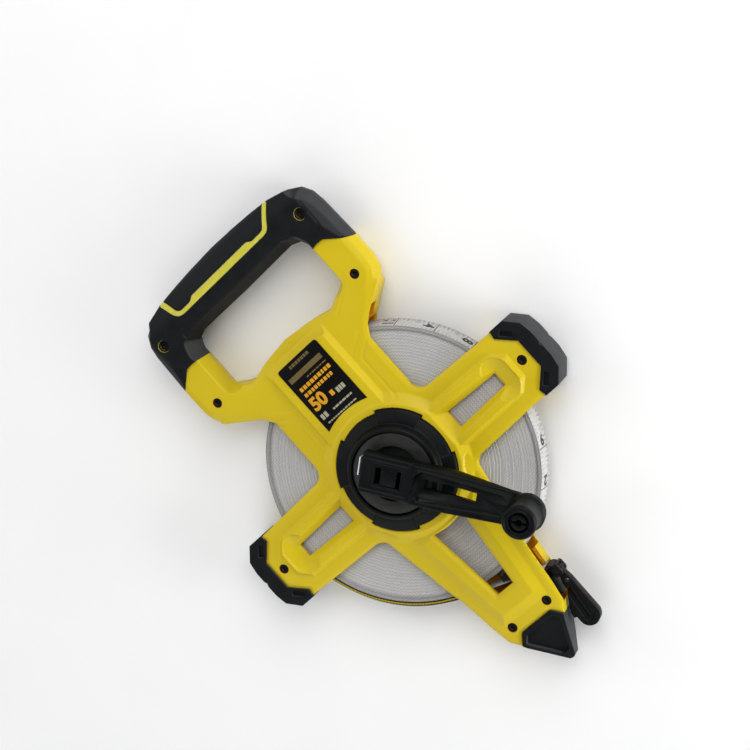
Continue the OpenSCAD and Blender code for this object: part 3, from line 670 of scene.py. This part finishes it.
def shell_relief(trunk_h, collar_h, runs, side_z, side_slope, inner_slope):
    """The moulded front of a shell half: bands, raised panels, windows, bevelled edges and creases."""

    def relief(x, y):
        ax = np.abs(x)
        top = with_windows(raised_panels(x, y, trunk_h, collar_h), x, y)
        # bevelled edges, the outer one wider and deeper along the legs of the handle
        edge = np.minimum(edge_distance(x, y, runs), line_distance(ax, y, LEG_EDGE))
        leg = smooth_step(y, 84, 97) * smooth_step(ax, 44, 56)
        width = EDGE_WIDTH + (LEG_WIDTH - EDGE_WIDTH) * leg
        drop = EDGE_DROP + (LEG_DROP - EDGE_DROP) * leg
        top = bevelled(top, edge, width, drop)
        opening = line_distance(ax, y, OPENING_EDGE)
        top = bevelled(top, opening, OPENING_WIDTH, OPENING_DROP)
        # sides of the legs, widest near the middle of the reel's thickness
        leg_side = side_distance(ax, y, LEG_EDGE, SPARE)
        top = smooth_min(top, side_z + side_slope * leg_side + FAR_ABOVE * (1 - leg), CREASE)
        inner_leg = smooth_step(ax, 33, 50)
        inner_side = INNER_SIDE_Z + inner_slope * side_distance(ax, y, OPENING_EDGE, -SPARE)
        top = smooth_min(top, inner_side + FAR_ABOVE * (1 - inner_leg), CREASE)
        # rounded rim
        rim = np.where(leg + inner_leg > 0.5, NO_RIM, np.minimum(edge, opening))
        top -= RIM_DROP * groove(rim, RIM_WIDTH) ** 2
        for points, half_width, depth in PRESSED_LINES:
            top -= depth * groove(line_distance(ax, y, points), half_width)
        return top - CUT_GAP

    return relief


def front_and_rear_shell():
    """Both yellow halves, cut to their relief and painted."""
    runs = frame_edge(BAND_Z - 0.8)
    for name, heights, sides, flip in (("front_shell", (TRUNK_H, COLLAR_H), FRONT_SIDES, None),
                                       ("rear_shell", (PANEL_H, PANEL_H), REAR_SIDES, MID_Z)):
        relief = shell_relief(*heights, runs, *sides)
        obj = new_object(name + "_moulded", copy_of(name), "yellow_shell", node=name)
        relief_cut(obj, relief, flip=flip)
        finish_smooth(obj, 28)
        paint_inside(obj, relief, runs, flip)


def paint_inside(obj, relief, runs, flip):
    """Gives the faces that lie under the moulded front and inside the outer walls the deeper orange of
    painted bounce light.
    """
    mesh = obj.data
    x, y, z = values_of(mesh.polygons, "center").T
    if flip is not None:
        z = 2 * flip - z
    wall = np.minimum(edge_distance(x, y, runs), line_distance(np.abs(x), y, LEG_EDGE + HANDLE_EDGE))
    wall = np.minimum(wall, line_distance(np.abs(x), y, OPENING_EDGE))
    inner = (relief(x, y) - z > INNER_DEPTH) & (wall > INNER_FROM_EDGE)
    mesh.materials.clear()
    mesh.materials.append(MATERIALS["yellow_shell"])
    mesh.materials.append(MATERIALS["yellow_painted_bounce"])
    mesh.polygons.foreach_set("material_index", inner.astype(np.int32))
    mesh.update()


# ------------------------------------------------------------------ turned and upright solids

def rounded(points, radius, steps=3):
    """A closed outline with its corners turned into short curves."""
    out = []
    for i, corner in enumerate(points):
        here = Vector(corner)
        before = Vector(points[i - 1]) - here
        after = Vector(points[(i + 1) % len(points)]) - here
        reach = min(radius, before.length * 0.45, after.length * 0.45)
        start = here + before.normalized() * reach
        end = here + after.normalized() * reach
        for k in range(steps + 1):
            t = k / steps
            out.append(tuple(start * (1 - t) ** 2 + here * 2 * t * (1 - t) + end * t * t))
    return out


def skin(bm, rings):
    """Joins each closed ring of vertices to the next by a belt of faces."""
    for first, second in zip(rings, rings[1:]):
        for j in range(len(first)):
            k = (j + 1) % len(first)
            bm.faces.new((first[j], second[j], second[k], first[k]))


def lathe(profile, centre=(0, 0), segments=96, shape=None, angles=None):
    """A closed solid of revolution from an outline of radii and heights, altered by shape(angle, r, z)."""
    bm = bmesh.new()
    angles = angles or [2 * math.pi * i / segments for i in range(segments)]
    rings = []
    for a in angles:
        ring = []
        for r, z in profile:
            if shape:
                r, z = shape(a, r, z)
            point = ((centre[0] + r * math.cos(a)) * MM, (centre[1] + r * math.sin(a)) * MM, z * MM)
            ring.append(bm.verts.new(point))
        rings.append(ring)
    skin(bm, rings + rings[:1])
    bmesh.ops.remove_doubles(bm, verts=bm.verts, dist=1e-7)
    bmesh.ops.dissolve_degenerate(bm, dist=1e-7, edges=bm.edges)
    bmesh.ops.recalc_face_normals(bm, faces=bm.faces)
    return bm


def prism(outline, z0, z1, unit=MM):
    """A closed upright solid on an outline in millimetres, made in metres unless unit is 1."""
    bm = bmesh.new()
    low = [bm.verts.new((x * unit, y * unit, z0 * unit)) for x, y in outline]
    high = [bm.verts.new((x * unit, y * unit, z1 * unit)) for x, y in outline]
    bm.faces.new(low)
    bm.faces.new(high)
    skin(bm, [low, high])
    bmesh.ops.recalc_face_normals(bm, faces=bm.faces)
    return bm


def joined(parts):
    """One bmesh that holds several."""
    whole = bmesh.new()
    for part in parts:
        mesh = mesh_from(part)
        whole.from_mesh(mesh)
        bpy.data.meshes.remove(mesh)
    return whole


def finish_smooth(obj, angle):
    """Shades a piece smooth, with creases where faces meet at more than angle degrees."""
    obj.data.shade_smooth()
    obj.data.set_sharp_from_angle(angle=math.radians(angle))


# Angles in degrees: edges sharper than the first are rounded, and the result is creased from the second on
SOFTENED_FROM, CREASED_FROM = 28, 35


def softened(node, material, width, steps=2, body="frame"):
    """A CAD node whose edges are rounded over the given width, in millimetres."""
    bm = copy_of(node)
    bmesh.ops.dissolve_limit(bm, angle_limit=math.radians(1.5), verts=bm.verts, edges=bm.edges)
    obj = new_object(node + "_moulded", bm, material, body, node, smooth_angle=None)
    mod = obj.modifiers.new("edges", "BEVEL")
    mod.width = width * MM
    mod.segments = steps
    mod.limit_method = "ANGLE"
    mod.angle_limit = math.radians(SOFTENED_FROM)
    bpy.context.view_layer.update()
    apply_all(obj)
    finish_smooth(obj, CREASED_FROM)
    return obj


# ------------------------------------------------------------------ grip

GRIP_LINE = [(0, 130.5), (44, 130.5), (49, 131), (57, 132.5), (62, 132), (70, 125.5), (76, 121.5), (90, 121)]
GRIP_CREASE = [(67.5, 158), (67.5, 140), (62, 132)]
STRIPE_LOW = [(0, 157.7), (36.5, 157.7), (39.6, 158.3), (42.2, 160.6), (45.2, 166), (49.4, 172.6)]
STRIPE_SLANT = [(46.4, 173.4), (43.2, 168.2), (39.9, 162.2), (38.2, 160.5)]
STRIPE_HIGH = [(36, 160.1), (28.2, 160.1), (25, 162.2), (0, 162.2)]
STRIPE_PITCH = 0.45
# Faces of the grip: where each starts, how far it falls and over which run
CROWN_Y, CROWN_FALL, CROWN_RUN = 162, 8.6, 11.5
PALM_Y, PALM_FALL, PALM_RUN = 173.5, 5, 3.5
CORNER_X, CORNER_FALL, CORNER_RUN = 67, 8, 11
NECK_Y, NECK_SLOPE = 140, 0.18
# Ridges under the palm: the first one, their pitch and depth
RIDGE_Y, RIDGE_PITCH, RIDGE_DEPTH = 163.2, 2.4, 0.07


def grip_relief(top, side_z, side_slope, inner_slope):
    """Crowned rubber over the handle, with finger slopes, side slopes and faint ridges under the palm."""

    def relief(x, y):
        ax = np.abs(x)
        z = smooth_min(float(top), top - (y - CROWN_Y) * CROWN_FALL / CROWN_RUN, 2.2)
        z = smooth_min(z, top - CROWN_FALL - (y - PALM_Y) * PALM_FALL / PALM_RUN, 1.6)
        # finger slope along the opening, steeper and narrower under the bar
        under = smooth_step(y, 137, 143)
        fingers = 7.4 - 1.8 * under - line_distance(ax, y, OPENING_EDGE)
        fingers = top - (0.43 + 0.22 * under) * fingers
        z = np.where(y < GRIP_SCREW[1], smooth_min(z, fingers, 1.2), z)
        z = smooth_min(z, top - (ax - CORNER_X) * CORNER_FALL / CORNER_RUN, 0.9)
        z = np.where(ax > 40, smooth_min(z, top - (NECK_Y - y) * NECK_SLOPE, 0.6), z)
        # ridges above the stripe, that fade out toward its ends
        ridge = smooth_step(y, RIDGE_Y, RIDGE_Y + 1) * (1 - smooth_step(y, 172, 174))
        ridge *= 1 - smooth_step(ax, 30, 38)
        z -= RIDGE_DEPTH * ridge * (0.5 - 0.5 * np.cos(2 * np.pi * (y - RIDGE_Y) / RIDGE_PITCH))
        # crease down to the fingers, soft lower edge against the legs, soft rim round the screw holes
        z -= 0.3 * groove(line_distance(ax, y, GRIP_CREASE), 1.0)
        z -= 0.7 * groove(line_distance(ax, y, GRIP_LINE), 0.9) ** 2
        hole = np.hypot(ax - GRIP_SCREW[0], y - GRIP_SCREW[1]) - 4
        z -= 0.6 * groove(np.abs(hole), 1.1) ** 2
        # smooth sides in plan
        outer = smooth_step(ax, 52, 66)
        side = side_z + side_slope * side_distance(ax, y, HANDLE_EDGE, SPARE)
        z = smooth_min(z, side + FAR_ABOVE * (1 - outer), 0.6)
        z = smooth_min(z, INNER_SIDE_Z + inner_slope * side_distance(ax, y, OPENING_EDGE, -SPARE), 0.8)
        z -= 0.8 * (1 - outer) * groove(line_distance(ax, y, HANDLE_EDGE), 1.4) ** 2
        return z - CUT_GAP

    return relief


def stripe_solid(relief, grow, rise, depth):
    """The stripe's plan, grown, between two surfaces that follow the grip."""
    lean = 0.4 * grow
    half = [(x + lean, y - grow) for x, y in STRIPE_LOW]
    half[0] = (0, STRIPE_LOW[0][1] - grow)
    half += [(x - lean, y + grow) for x, y in STRIPE_SLANT] + [(x, y + grow) for x, y in STRIPE_HIGH]
    outline = half + [(-x, y) for x, y in half if x > 0.01][::-1]
    stripe = loose(prism(rounded(outline, 1.2, 2), 8, 40))
    relief_cut(stripe, lambda x, y: relief(x, y) + rise + CUT_GAP, pitch=STRIPE_PITCH)
    keep = loose(prism([(-60, 150), (60, 150), (60, 180), (-60, 180)], 0, 45))
    relief_cut(keep, lambda x, y: relief(x, y) - depth, pitch=STRIPE_PITCH)
    boolean(stripe, keep)
    return stripe


def grips():
    """Rubber over the handle, with the stripe's seat, the stripe and the sleeves of the screw holes."""
    front = grip_relief(GRIP_TOP_Z, *FRONT_SIDES)
    rear = grip_relief(2 * MID_Z, *REAR_SIDES[:2], FRONT_SIDES[2])
    for name, relief, flip in (("grip_front", front, None), ("grip_rear", rear, MID_Z)):
        obj = new_object(name + "_moulded", copy_of(name), "rubber", node=name)
        relief_cut(obj, relief, pitch=0.5, flip=flip)
        if name == "grip_front":
            boolean(obj, stripe_solid(front, 0.32, 2.0, 1.4))
        finish_smooth(obj, 30)
    stripe = stripe_solid(front, 0.0, 0.22, 1.2)
    inlay = new_object("grip_inlay_moulded", stripe.data, "inlay", node="grip_inlay")
    bpy.data.objects.remove(stripe)
    finish_smooth(inlay, 30)
    # in each screw hole a lime liner with a black washer inside it
    seat = BAND_Z - 0.55
    liner = rounded([(3.72, seat), (3.97, seat), (3.97, seat + 1.75), (3.75, seat + 1.75)], 0.1, 1)
    washer = [(2.95, seat - 0.2), (3.66, seat - 0.2), (3.66, seat + 1.45), (2.95, seat + 1.3)]
    washer = rounded(washer, 0.2, 2)
    for side, x in (("right", GRIP_SCREW[0]), ("left", -GRIP_SCREW[0])):
        for name, profile, material in (("liner", liner, "inlay"), ("washer", washer, "rubber")):
            ring = lathe(profile, (x, GRIP_SCREW[1]), 48)
            new_object("grip_hole_" + name + "_" + side, ring, material)


# ------------------------------------------------------------------ hub and crank

CRANK_TURN = math.radians(-52.5)
RING_IN_R, RING_OUT_R, LOBE_R = 25.9, 36.4, 38.3
# Heights of the ring's outer slope at the rim and where the step starts, and of the top of the step
RIM_Z, SLOPE_Z, STEP_Z = 31.3, 33.1, 37.2
LOBE_HALF, LOBE_EDGE = math.radians(22.5), math.radians(0.5)
QUARTER = math.pi / 2


def hub_cover():
    """Ring round the hub: a broad outer slope, a steep step up to the disc, and four bayonet lobes."""
    top = top_of("hub_ring") - 0.02
    low = BAND_Z + 0.02
    outline = [(RING_IN_R, low), (RING_OUT_R, low), (RING_OUT_R, RIM_Z - 0.9), (RING_OUT_R - 0.9, RIM_Z),
               (30.9, SLOPE_Z), (29.9, SLOPE_Z + 0.5), (28.9, STEP_Z), (28.3, STEP_Z + 0.9), (27.2, top),
               (RING_IN_R, top)]

    def shape(a, r, z):
        turn = (a + QUARTER / 2) % QUARTER - QUARTER / 2
        start = QUARTER / 2 - LOBE_HALF
        lobe = smooth_step(abs(turn), start - LOBE_EDGE, start + LOBE_EDGE)
        if r > 30.2:
            reach = min(1, (r - 30.2) / 1.5)
            r = r + lobe * (LOBE_R - RING_OUT_R) * min(1, max(0, (r - 31) / 5))
            if z > BAND_Z + 1:
                z = z + (-0.15 if r > 35 else 0.45 * reach) * lobe
        return r, z

    angles = []
    for quarter in range(4):
        start = quarter * QUARTER
        angles += [start + math.radians(1.5) * i for i in range(60)]
        for edge in (start + QUARTER / 2 - LOBE_HALF, start + QUARTER / 2 + LOBE_HALF):
            angles += [edge + LOBE_EDGE * part for part in (-1, -1 / 3, 1 / 3, 1)]
    angles = sorted(set(round(a % (2 * math.pi), 6) for a in angles))
    ring = lathe(rounded(outline, 0.5, 3), angles=angles, shape=shape)
    new_object("hub_ring_moulded", ring, "black_plastic", node="hub_ring")


def disc():
    """Turning disc: rounded rim, and the pocket that the arm's post stands in."""
    rim = top_of("crank_disc") - 0.02
    pocket = bottom_of("drive_post") - 0.02
    low = bottom_of("crank_disc") + 0.02
    flange_z = 28.25
    outline = [(4.1, low), (19.4, low), (19.4, flange_z), (25.35, flange_z), (25.35, rim - 0.68), (24.7, rim),
               (17.2, rim), (15.9, pocket), (4.1, pocket)]
    new_object("crank_disc_moulded", lathe(rounded(outline, 0.35, 2), segments=144), "disc", "crank",
               node="crank_disc")
    floor = [(0, pocket - 1.38), (4.6, pocket - 1.38), (4.6, pocket - 0.03), (0, pocket - 0.03)]
    new_object("crank_disc_floor", lathe(floor, segments=64), "black_plastic", "crank")


# Half width of the crank arm at some distances from the hub's axis
ARM_HALF = ((-17.5, 12.3), (38, 12.3), (80.5, 10.4), (85.5, 11.2))
ARM_START, KNOB_REACH, ARM_END_R = ARM_HALF[0][0], ARM_HALF[-1][0], ARM_HALF[-1][1]
ROUND_FROM = ARM_HALF[-2][0]
KNOB_AT = (KNOB_REACH * math.cos(CRANK_TURN), KNOB_REACH * math.sin(CRANK_TURN))
TONGUE_END = 14
# Half width of the arm's channel at some distances from the hub's axis
CHANNEL_AT, CHANNEL_HALF = (15, 19.5, 70, 72.5), (5.2, 9.2, 6.2, 3.5)


def arm_relief(x, y):
    """Moulded crank arm: stepped tongue, then a raised rim that slopes in to the channel."""
    along = x * math.cos(CRANK_TURN) + y * math.sin(CRANK_TURN)
    across = np.abs(-x * math.sin(CRANK_TURN) + y * math.cos(CRANK_TURN))
    top = top_of("crank_arm")
    tongue_top = top_of("drive_post") + 0.4
    half = np.interp(along, *zip(*ARM_HALF))
    edge = np.minimum(half - across, along - ARM_START)
    edge = np.where(along > ROUND_FROM, ARM_END_R - np.hypot(along - KNOB_REACH, across), edge)
    step = tongue_top + np.clip(along - TONGUE_END, 0, 2) * 1.2
    z = np.where(along < TONGUE_END + 2, np.minimum(step, top), top)
    # tongue: lower shoulders and a shallow frame round its window
    z = z - 0.7 * smooth_step(across, 9.2, 9.9) * (1 - smooth_step(along, 11, 12.5))
    frame_line = np.abs(np.maximum(np.abs(along + 0.6) - 8.2, across - 5.7) - 1.6)
    z = z - 0.25 * groove(frame_line, 0.5)
    # rim of the arm, sloping in, with a thin lip along the channel
    slope = top - np.clip(half - 1.3 - across, 0, 9) * 0.3
    z = np.where((along > 17) & (along < 76), smooth_min(z, slope, 0.25), z)
    lip = groove(np.abs(across - np.interp(along, CHANNEL_AT, CHANNEL_HALF)), 0.7) ** 2
    z = np.where((along > 17) & (along < 72), z - 0.35 * lip, z)
    return z - 0.5 * groove(edge, 0.8) ** 2 - CUT_GAP


def crank():
    """Arm with its pin, the post and spring it slides on, and the knob."""
    arm = new_object("crank_arm_moulded", copy_of("crank_arm"), "black_plastic", "arm", node="crank_arm")
    relief_cut(arm, arm_relief, pitch=0.4)
    finish_smooth(arm, 30)
    softened("drive_post", "black_plastic", 0.45, body="crank")
    softened("detent_spring", "bright_steel", 0.2, body="crank")
    # knob: waisted barrel with a flared foot, a rolled front rim and a recessed ring inside it
    low = bottom_of("knob")
    top = top_of("knob")
    recess = top - 4.2
    bore_r = 3.06
    barrel = [(bore_r, low + 0.02), (11.5, low + 0.02), (11.75, low + 0.7), (11.7, low + 1.7),
              (10.9, low + 2.5), (10.15, low + 4.2), (9.95, low + 8), (10.1, low + 13), (10.5, top - 3.2),
              (10.35, top - 1.2)]
    front = [(9.3, top - 0.1), (8.7, top - 0.02), (8.2, top - 0.7), (7.6, top - 0.75), (7.1, top - 0.2),
             (6.25, top - 0.35), (6.15, recess - 0.02), (bore_r, recess - 0.02)]
    knob = lathe(rounded(barrel + front, 0.7, 4), KNOB_AT, 128)
    new_object("knob_moulded", knob, "black_plastic", "knob", node="knob")
    softened("knob_pin", "black_plastic", 0.3, body="arm")


# ------------------------------------------------------------------ screw heads, feet, mouth and hook

def screw_heads_and_hole_shade():
    """Black socket heads set high in the screw holes of the shell, and smaller ones in the grip's; their
    black is partly the screws' own and partly painted shade of the deep holes.
    """
    low = 16.4
    top = BAND_Z - 1.6
    head = rounded([(0, low), (3.17, low), (3.17, top - 0.4), (2.8, top), (1.6, top), (1.4, top - 1.4),
                    (0, top - 1.4)], 0.2, 2)
    small = [(r * 0.9, z + 0.9) for r, z in head]
    places = [(x, y, head) for x, y in SCREWS] + [(*GRIP_SCREW, small)]
    solid = [lathe(profile, (x * side, y), 40) for x, y, profile in places for side in (1, -1)]
    new_object("screw_heads_and_hole_shade", joined(solid), "rubber")


# Middle line of the sunk loop in the end hook, its half width to the walls and its depth
LOOP_LINE = ((27.6, -124), (25.2, -142))
LOOP_HALF, LOOP_WALL, LOOP_DEPTH = 3.0, 0.6, 1.3


def small_parts():
    """Feet, the dark parts of the mouth, and the end fitting with its hook."""
    for name in ("foot_right", "foot_left", "nose_foot"):
        softened(name, "rubber", 0.6, 3)
    softened("tape_clamp", "black_plastic", 0.5)
    for name in ("mouth_block", "tape_guide"):
        softened(name, "black_plastic", 0.4)
    hook = softened("end_hook", "black_plastic", 0.7, 3, "hook")
    top = top_of("end_hook") - CUT_GAP

    def sunk_loop(x, y):
        away = line_distance(x, y, LOOP_LINE)
        return top - LOOP_DEPTH * (1 - smooth_step(away, LOOP_HALF, LOOP_HALF + LOOP_WALL))

    relief_cut(hook, sunk_loop, pitch=0.35)
    finish_smooth(hook, CREASED_FROM)
    NODES["hook_pin"].material_slots[0].material = MATERIALS["black_steel"]


# ------------------------------------------------------------------ tape

# Distance between the modelled ridges, the first one's radius, and where the prouder outer band starts
WRAP, FIRST_WRAP_R, BAND_R = 0.9, 33.4, 84.2
ROLL_SEGMENTS = 220
# How far the outermost wraps lie inside the full roll, at its top and at its foot
TOP_SLACK, LOW_SLACK = 2.8, 1.0
HALF_WIDTH = (ROLL_TOP_Z - ROLL_LOW_Z) / 2
FACE_R = ROLL_R - 0.02


def roll_rings():
    """Radius, height above the roll's middle, wobble and its phase of each ridge and groove."""
    rng = random.Random(11)
    rings = []
    r = FIRST_WRAP_R
    while r < ROLL_R - 0.3:
        lift = rng.uniform(-0.14, 0.0) - (0.22 if r < BAND_R else 0.02)
        groove_depth = 0.32 if abs(r - BAND_R) > WRAP else 0.8
        phase = rng.uniform(0, 2 * math.pi)
        rings.append((r, HALF_WIDTH - 0.25 - groove_depth, 0.0, phase))
        rings.append((r + WRAP * 0.5, HALF_WIDTH + lift, 0.07, phase))
        r += WRAP
    return rings + [(ROLL_R - 0.35, HALF_WIDTH - 0.02, 0.0, 0), (FACE_R, HALF_WIDTH - 0.3, 0.0, 0)]


def roll():
    """The wound tape: every second wrap as a ridge, a prouder outer band, and a white outer face."""
    outline = [(1, ring) for ring in roll_rings()]
    outline += [(-1, ring) for side, ring in outline[::-1]]
    bm = bmesh.new()
    columns = []
    for i in range(ROLL_SEGMENTS):
        a = 2 * math.pi * i / ROLL_SEGMENTS
        column = []
        for side, (r, height, wobble, phase) in outline:
            z = MID_Z + side * (height - wobble * (0.5 + 0.5 * math.sin(3 * a + phase)))
            slack = min(1, max(0, (r - BAND_R) / (ROLL_R - BAND_R)))
            r -= slack * (TOP_SLACK if side == 1 else LOW_SLACK)
            column.append(bm.verts.new((r * math.cos(a) * MM, r * math.sin(a) * MM, z * MM)))
        columns.append(column)
    skin(bm, columns + columns[:1])
    bmesh.ops.recalc_face_normals(bm, faces=bm.faces)
    wound = new_object("tape_roll_wound", bm, "tape", "drum", node="tape_roll", smooth_angle=50)
    wound.data.materials.append(MATERIALS["tape_face"])
    for face in wound.data.polygons:
        if abs(face.normal.z) < 0.3 and face.center.xy.length > (ROLL_R - 0.4) * MM:
            face.material_index = 1


def roll_face(a, across):
    """Radius of the roll's outer face, which leans in toward the top and is the same all round."""
    return FACE_R - LOW_SLACK - (TOP_SLACK - LOW_SLACK) * (across + HALF_WIDTH) / (2 * HALF_WIDTH)


def wrapped(bm, angle, face):
    """Bends a flat mesh of x along the tape and y across it, in millimetres, round face(angle, across)."""
    for v in bm.verts:
        along, across, out = v.co
        a = angle + along / ROLL_R
        r = face(a, across) + out
        v.co = (r * math.cos(a) * MM, r * math.sin(a) * MM, (MID_Z + across) * MM)
    return bm


def flat_bar(x0, x1, y0, y1, height):
    """A thin raised bar, made in millimetres."""
    return prism([(x0, y0), (x1, y0), (x1, y1), (x0, y1)], 0, height, unit=1)


def figures(text, size, height, bold):
    """Numerals as a thin raised mesh centred on the origin, in millimetres."""
    data = bpy.data.curves.new("figures", "FONT")
    data.body = text
    data.size = size
    data.align_x = "CENTER"
    data.align_y = "CENTER"
    data.extrude = height / 2
    data.offset = bold
    data.resolution_u = 3
    obj = linked("figures", data)
    bpy.context.view_layer.update()
    mesh = bpy.data.meshes.new_from_object(obj.evaluated_get(bpy.context.evaluated_depsgraph_get()))
    bm = bmesh_from(mesh)
    bpy.data.objects.remove(obj)
    bpy.data.curves.remove(data)
    bmesh.ops.remove_doubles(bm, verts=bm.verts, dist=0.001)
    bmesh.ops.translate(bm, verts=bm.verts, vec=(0, 0, height / 2))
    return bm


# Scale on the tape: full lines round the roll, ticks from one line to the next, and thicknesses of the ink
MARKS_ROUND, TICKS = 22, 8
MARK_TURN = 2 * math.pi / MARKS_ROUND
INK, THIN_INK = 0.07, 0.06
LINE_HALF, TICK_HALF, MARK_EDGE = 0.25, 0.13, 0.4
HALF_TICK, LONG_TICK, SHORT_TICK = 5.2, 3.6, 2.4
NUMERAL_SIZE, NUMERAL_SHIFT = 9.5, 5.2


def scale_marks(first, count, face):
    """Plain scale: a numeral beside each full line, and short ticks between the lines."""
    low, high = MARK_EDGE - HALF_WIDTH, HALF_WIDTH - MARK_EDGE
    parts = []
    for i in range(count):
        a = first + i * MARK_TURN
        parts.append(wrapped(flat_bar(-LINE_HALF, LINE_HALF, low, high, INK), a, face))
        number = figures(str((i * 7) % 11 + 1), NUMERAL_SIZE, INK, 0.35)
        bmesh.ops.rotate(number, verts=number.verts, matrix=Matrix.Rotation(math.pi / 2, 3, "Z"))
        parts.append(wrapped(number, a + NUMERAL_SHIFT / ROLL_R, face))
        for k in range(1, TICKS):
            length = HALF_TICK if k == TICKS // 2 else (SHORT_TICK if k % 2 else LONG_TICK)
            x = -k * MARK_TURN * ROLL_R / TICKS
            tick = flat_bar(x - TICK_HALF, x + TICK_HALF, low, low + length, THIN_INK)
            parts.append(wrapped(tick, a, face))
    return joined(parts)


def tape_print():
    """Scale on the outer face of the roll."""
    new_object("tape_scale_print", scale_marks(0, MARKS_ROUND, roll_face), "ink", "drum", smooth_angle=None)


def ribbon(path, low, high, thickness):
    """A strip of tape that stands on edge along a plan path, in millimetres."""
    bm = bmesh.new()
    count = len(path)
    rows = []
    for i, here in enumerate(path):
        ahead = Vector(path[min(i + 1, count - 1)]) - Vector(path[max(i - 1, 0)])
        side = Vector((-ahead.y, ahead.x)).normalized() * thickness / 2
        row = []
        for sign, z in ((1, low), (1, high), (-1, high), (-1, low)):
            p = Vector(here) + side * sign
            row.append(bm.verts.new((p.x * MM, p.y * MM, z * MM)))
        rows.append(row)
    skin(bm, rows)
    bm.faces.new(rows[0])
    bm.faces.new(rows[-1])
    bmesh.ops.recalc_face_normals(bm, faces=bm.faces)
    return bm


# Plan points where the tape passes the mouth and where it ends in the clamp, and its thickness
TAIL_EXIT, TAIL_END = (28.2, -103.7), (29.7, -104.95)
TAPE_THICK = 0.45
# The loose wrap: where it starts, its gap to the roll, and how far it bulges halfway
LOOSE_FROM, LOOSE_GAP, BULGE = math.radians(196), 0.35, 0.4
LOOSE_STEPS = 40
# Edge of the loose wrap, dashes on a dark band of painted shade: the dashes, the part of the pitch that each
# fills, and both widths
EDGE_DASHES, DASH_PART, SHADE_BAND_WIDTH, DASH_WIDTH = 92, 0.6, 1.5, 0.9


def tail():
    """The last wrap, standing a little off the roll at the lower left, and the free end in the limb."""
    leave_r = ROLL_R + LOOSE_GAP
    loose_r = leave_r - LOW_SLACK
    edge_r = loose_r - 0.9
    past = math.acos(leave_r / math.hypot(*TAIL_EXIT))
    leave = math.atan2(TAIL_EXIT[1], TAIL_EXIT[0]) % (2 * math.pi) - past

    def radius(a):
        t = (a % (2 * math.pi) - LOOSE_FROM) / (leave - LOOSE_FROM)
        return loose_r + (leave_r - loose_r) * t ** 2 + BULGE * math.sin(math.pi * t) ** 2

    def point(part, r=None):
        a = LOOSE_FROM + (leave - LOOSE_FROM) * part
        r = r or radius(a)
        return r * math.cos(a), r * math.sin(a)

    path = [point(i / LOOSE_STEPS) for i in range(LOOSE_STEPS + 1)] + [TAIL_EXIT, TAIL_END]
    strip = ribbon(path, ROLL_LOW_Z, ROLL_TOP_Z, TAPE_THICK)
    new_object("tape_tail_strip", strip, "tape_face", node="tape_tail")
    marks = int((leave - LOOSE_FROM - 0.1) / MARK_TURN)
    scale = scale_marks(LOOSE_FROM + MARK_TURN, marks, lambda a, across: radius(a) + 0.24)
    new_object("tape_tail_print", scale, "ink", smooth_angle=None)
    # dark sleeve over the last stretch before the clamp
    mouth = Vector(TAIL_EXIT)
    inner = mouth + (Vector(path[-3]) - mouth).normalized() * 2.5
    sleeve = ribbon([inner, mouth, TAIL_END], ROLL_LOW_Z - 0.1, ROLL_TOP_Z + 0.1, 0.75)
    new_object("tape_tail_sleeve", sleeve, "rubber")
    # painted shade: a dark band along the edge of the loose stretch, where the gap beside it lies in shade,
    # with coloured dashes
    edge = [point(k / EDGE_DASHES, edge_r) for k in range(EDGE_DASHES + 1)]
    band = ribbon(edge, ROLL_TOP_Z - 1.6, ROLL_TOP_Z + 0.02, SHADE_BAND_WIDTH)
    new_object("tape_edge_shade_band", band, "rubber")
    ends = [point((k + DASH_PART) / EDGE_DASHES, edge_r) for k in range(EDGE_DASHES)]
    dashes = [ribbon(pair, ROLL_TOP_Z - 0.2, ROLL_TOP_Z + 0.12, DASH_WIDTH) for pair in zip(edge, ends)]
    new_object("tape_edge_dashes", joined(dashes), "yellow_shell", smooth_angle=None)


# ------------------------------------------------------------------ label

# Rows of dashes in each ink: x from, x to, y from, y to, shortest dash, longest dash, gap
LABEL_ROWS = {
    "amber": ((-13, 13, 73.0, 75.6, 1.6, 2.6, 0.7), (-13, 13, 68.8, 71.2, 1.6, 2.6, 0.7)),
    "gold": ((-8.5, 8.5, 87.9, 89.9, 1.6, 2.2, 0.5), (-3.5, 13, 77.6, 78.5, 1.5, 3.5, 0.6)),
    "pale": ((5.2, 13.0, 58.2, 61.6, 1.4, 2.0, 0.5), (-14.3, -7.5, 51.8, 55.4, 1.8, 2.4, 0.7),
             (-4.5, 12.5, 52.4, 53.6, 1.2, 2.8, 0.5), (-13, 12.5, 48.1, 49.0, 1.2, 2.8, 0.5)),
}


def dash_row(rng, x0, x1, y0, y1, low, high, gap):
    """A row of bars of varied lengths, in place of a line of print."""
    made = []
    x = x0
    while x < x1 - low:
        width = min(rng.uniform(low, high), x1 - x)
        made.append(flat_bar(x, x + width, y0, y1, THIN_INK))
        x += width + gap
    return made


def label():
    """Dark label with rounded corners and plain generic print: bars, dashes and a length in figures."""
    softened("label_plate", "label", 0.12)
    length = figures("50", 11.6, INK, 0.5)
    bmesh.ops.translate(length, verts=length.verts, vec=(-8.4, 62.2, 0))
    parts = {"amber": [length, flat_bar(0.6, 3.4, 59.2, 62.6, THIN_INK)],
             "gold": [flat_bar(-14.5, 13, 80.6, 84.0, 0.05)],
             "pale": []}
    rng = random.Random(5)
    for name, rows in LABEL_ROWS.items():
        for row in rows:
            parts[name] += dash_row(rng, *row)
        print_mesh = joined(parts[name])
        for v in print_mesh.verts:
            v.co = (v.co.x * MM, v.co.y * MM, (LABEL_TOP_Z - 0.02 + v.co.z) * MM)
        new_object("label_" + name + "_print", print_mesh, name + "_ink", smooth_angle=None)


dress_cad_nodes()
studio()
front_and_rear_shell()
grips()
hub_cover()
disc()
crank()
small_parts()
screw_heads_and_hole_shade()
roll()
tape_print()
tail()
label()
softened("rear_cap", "black_plastic", 0.4)
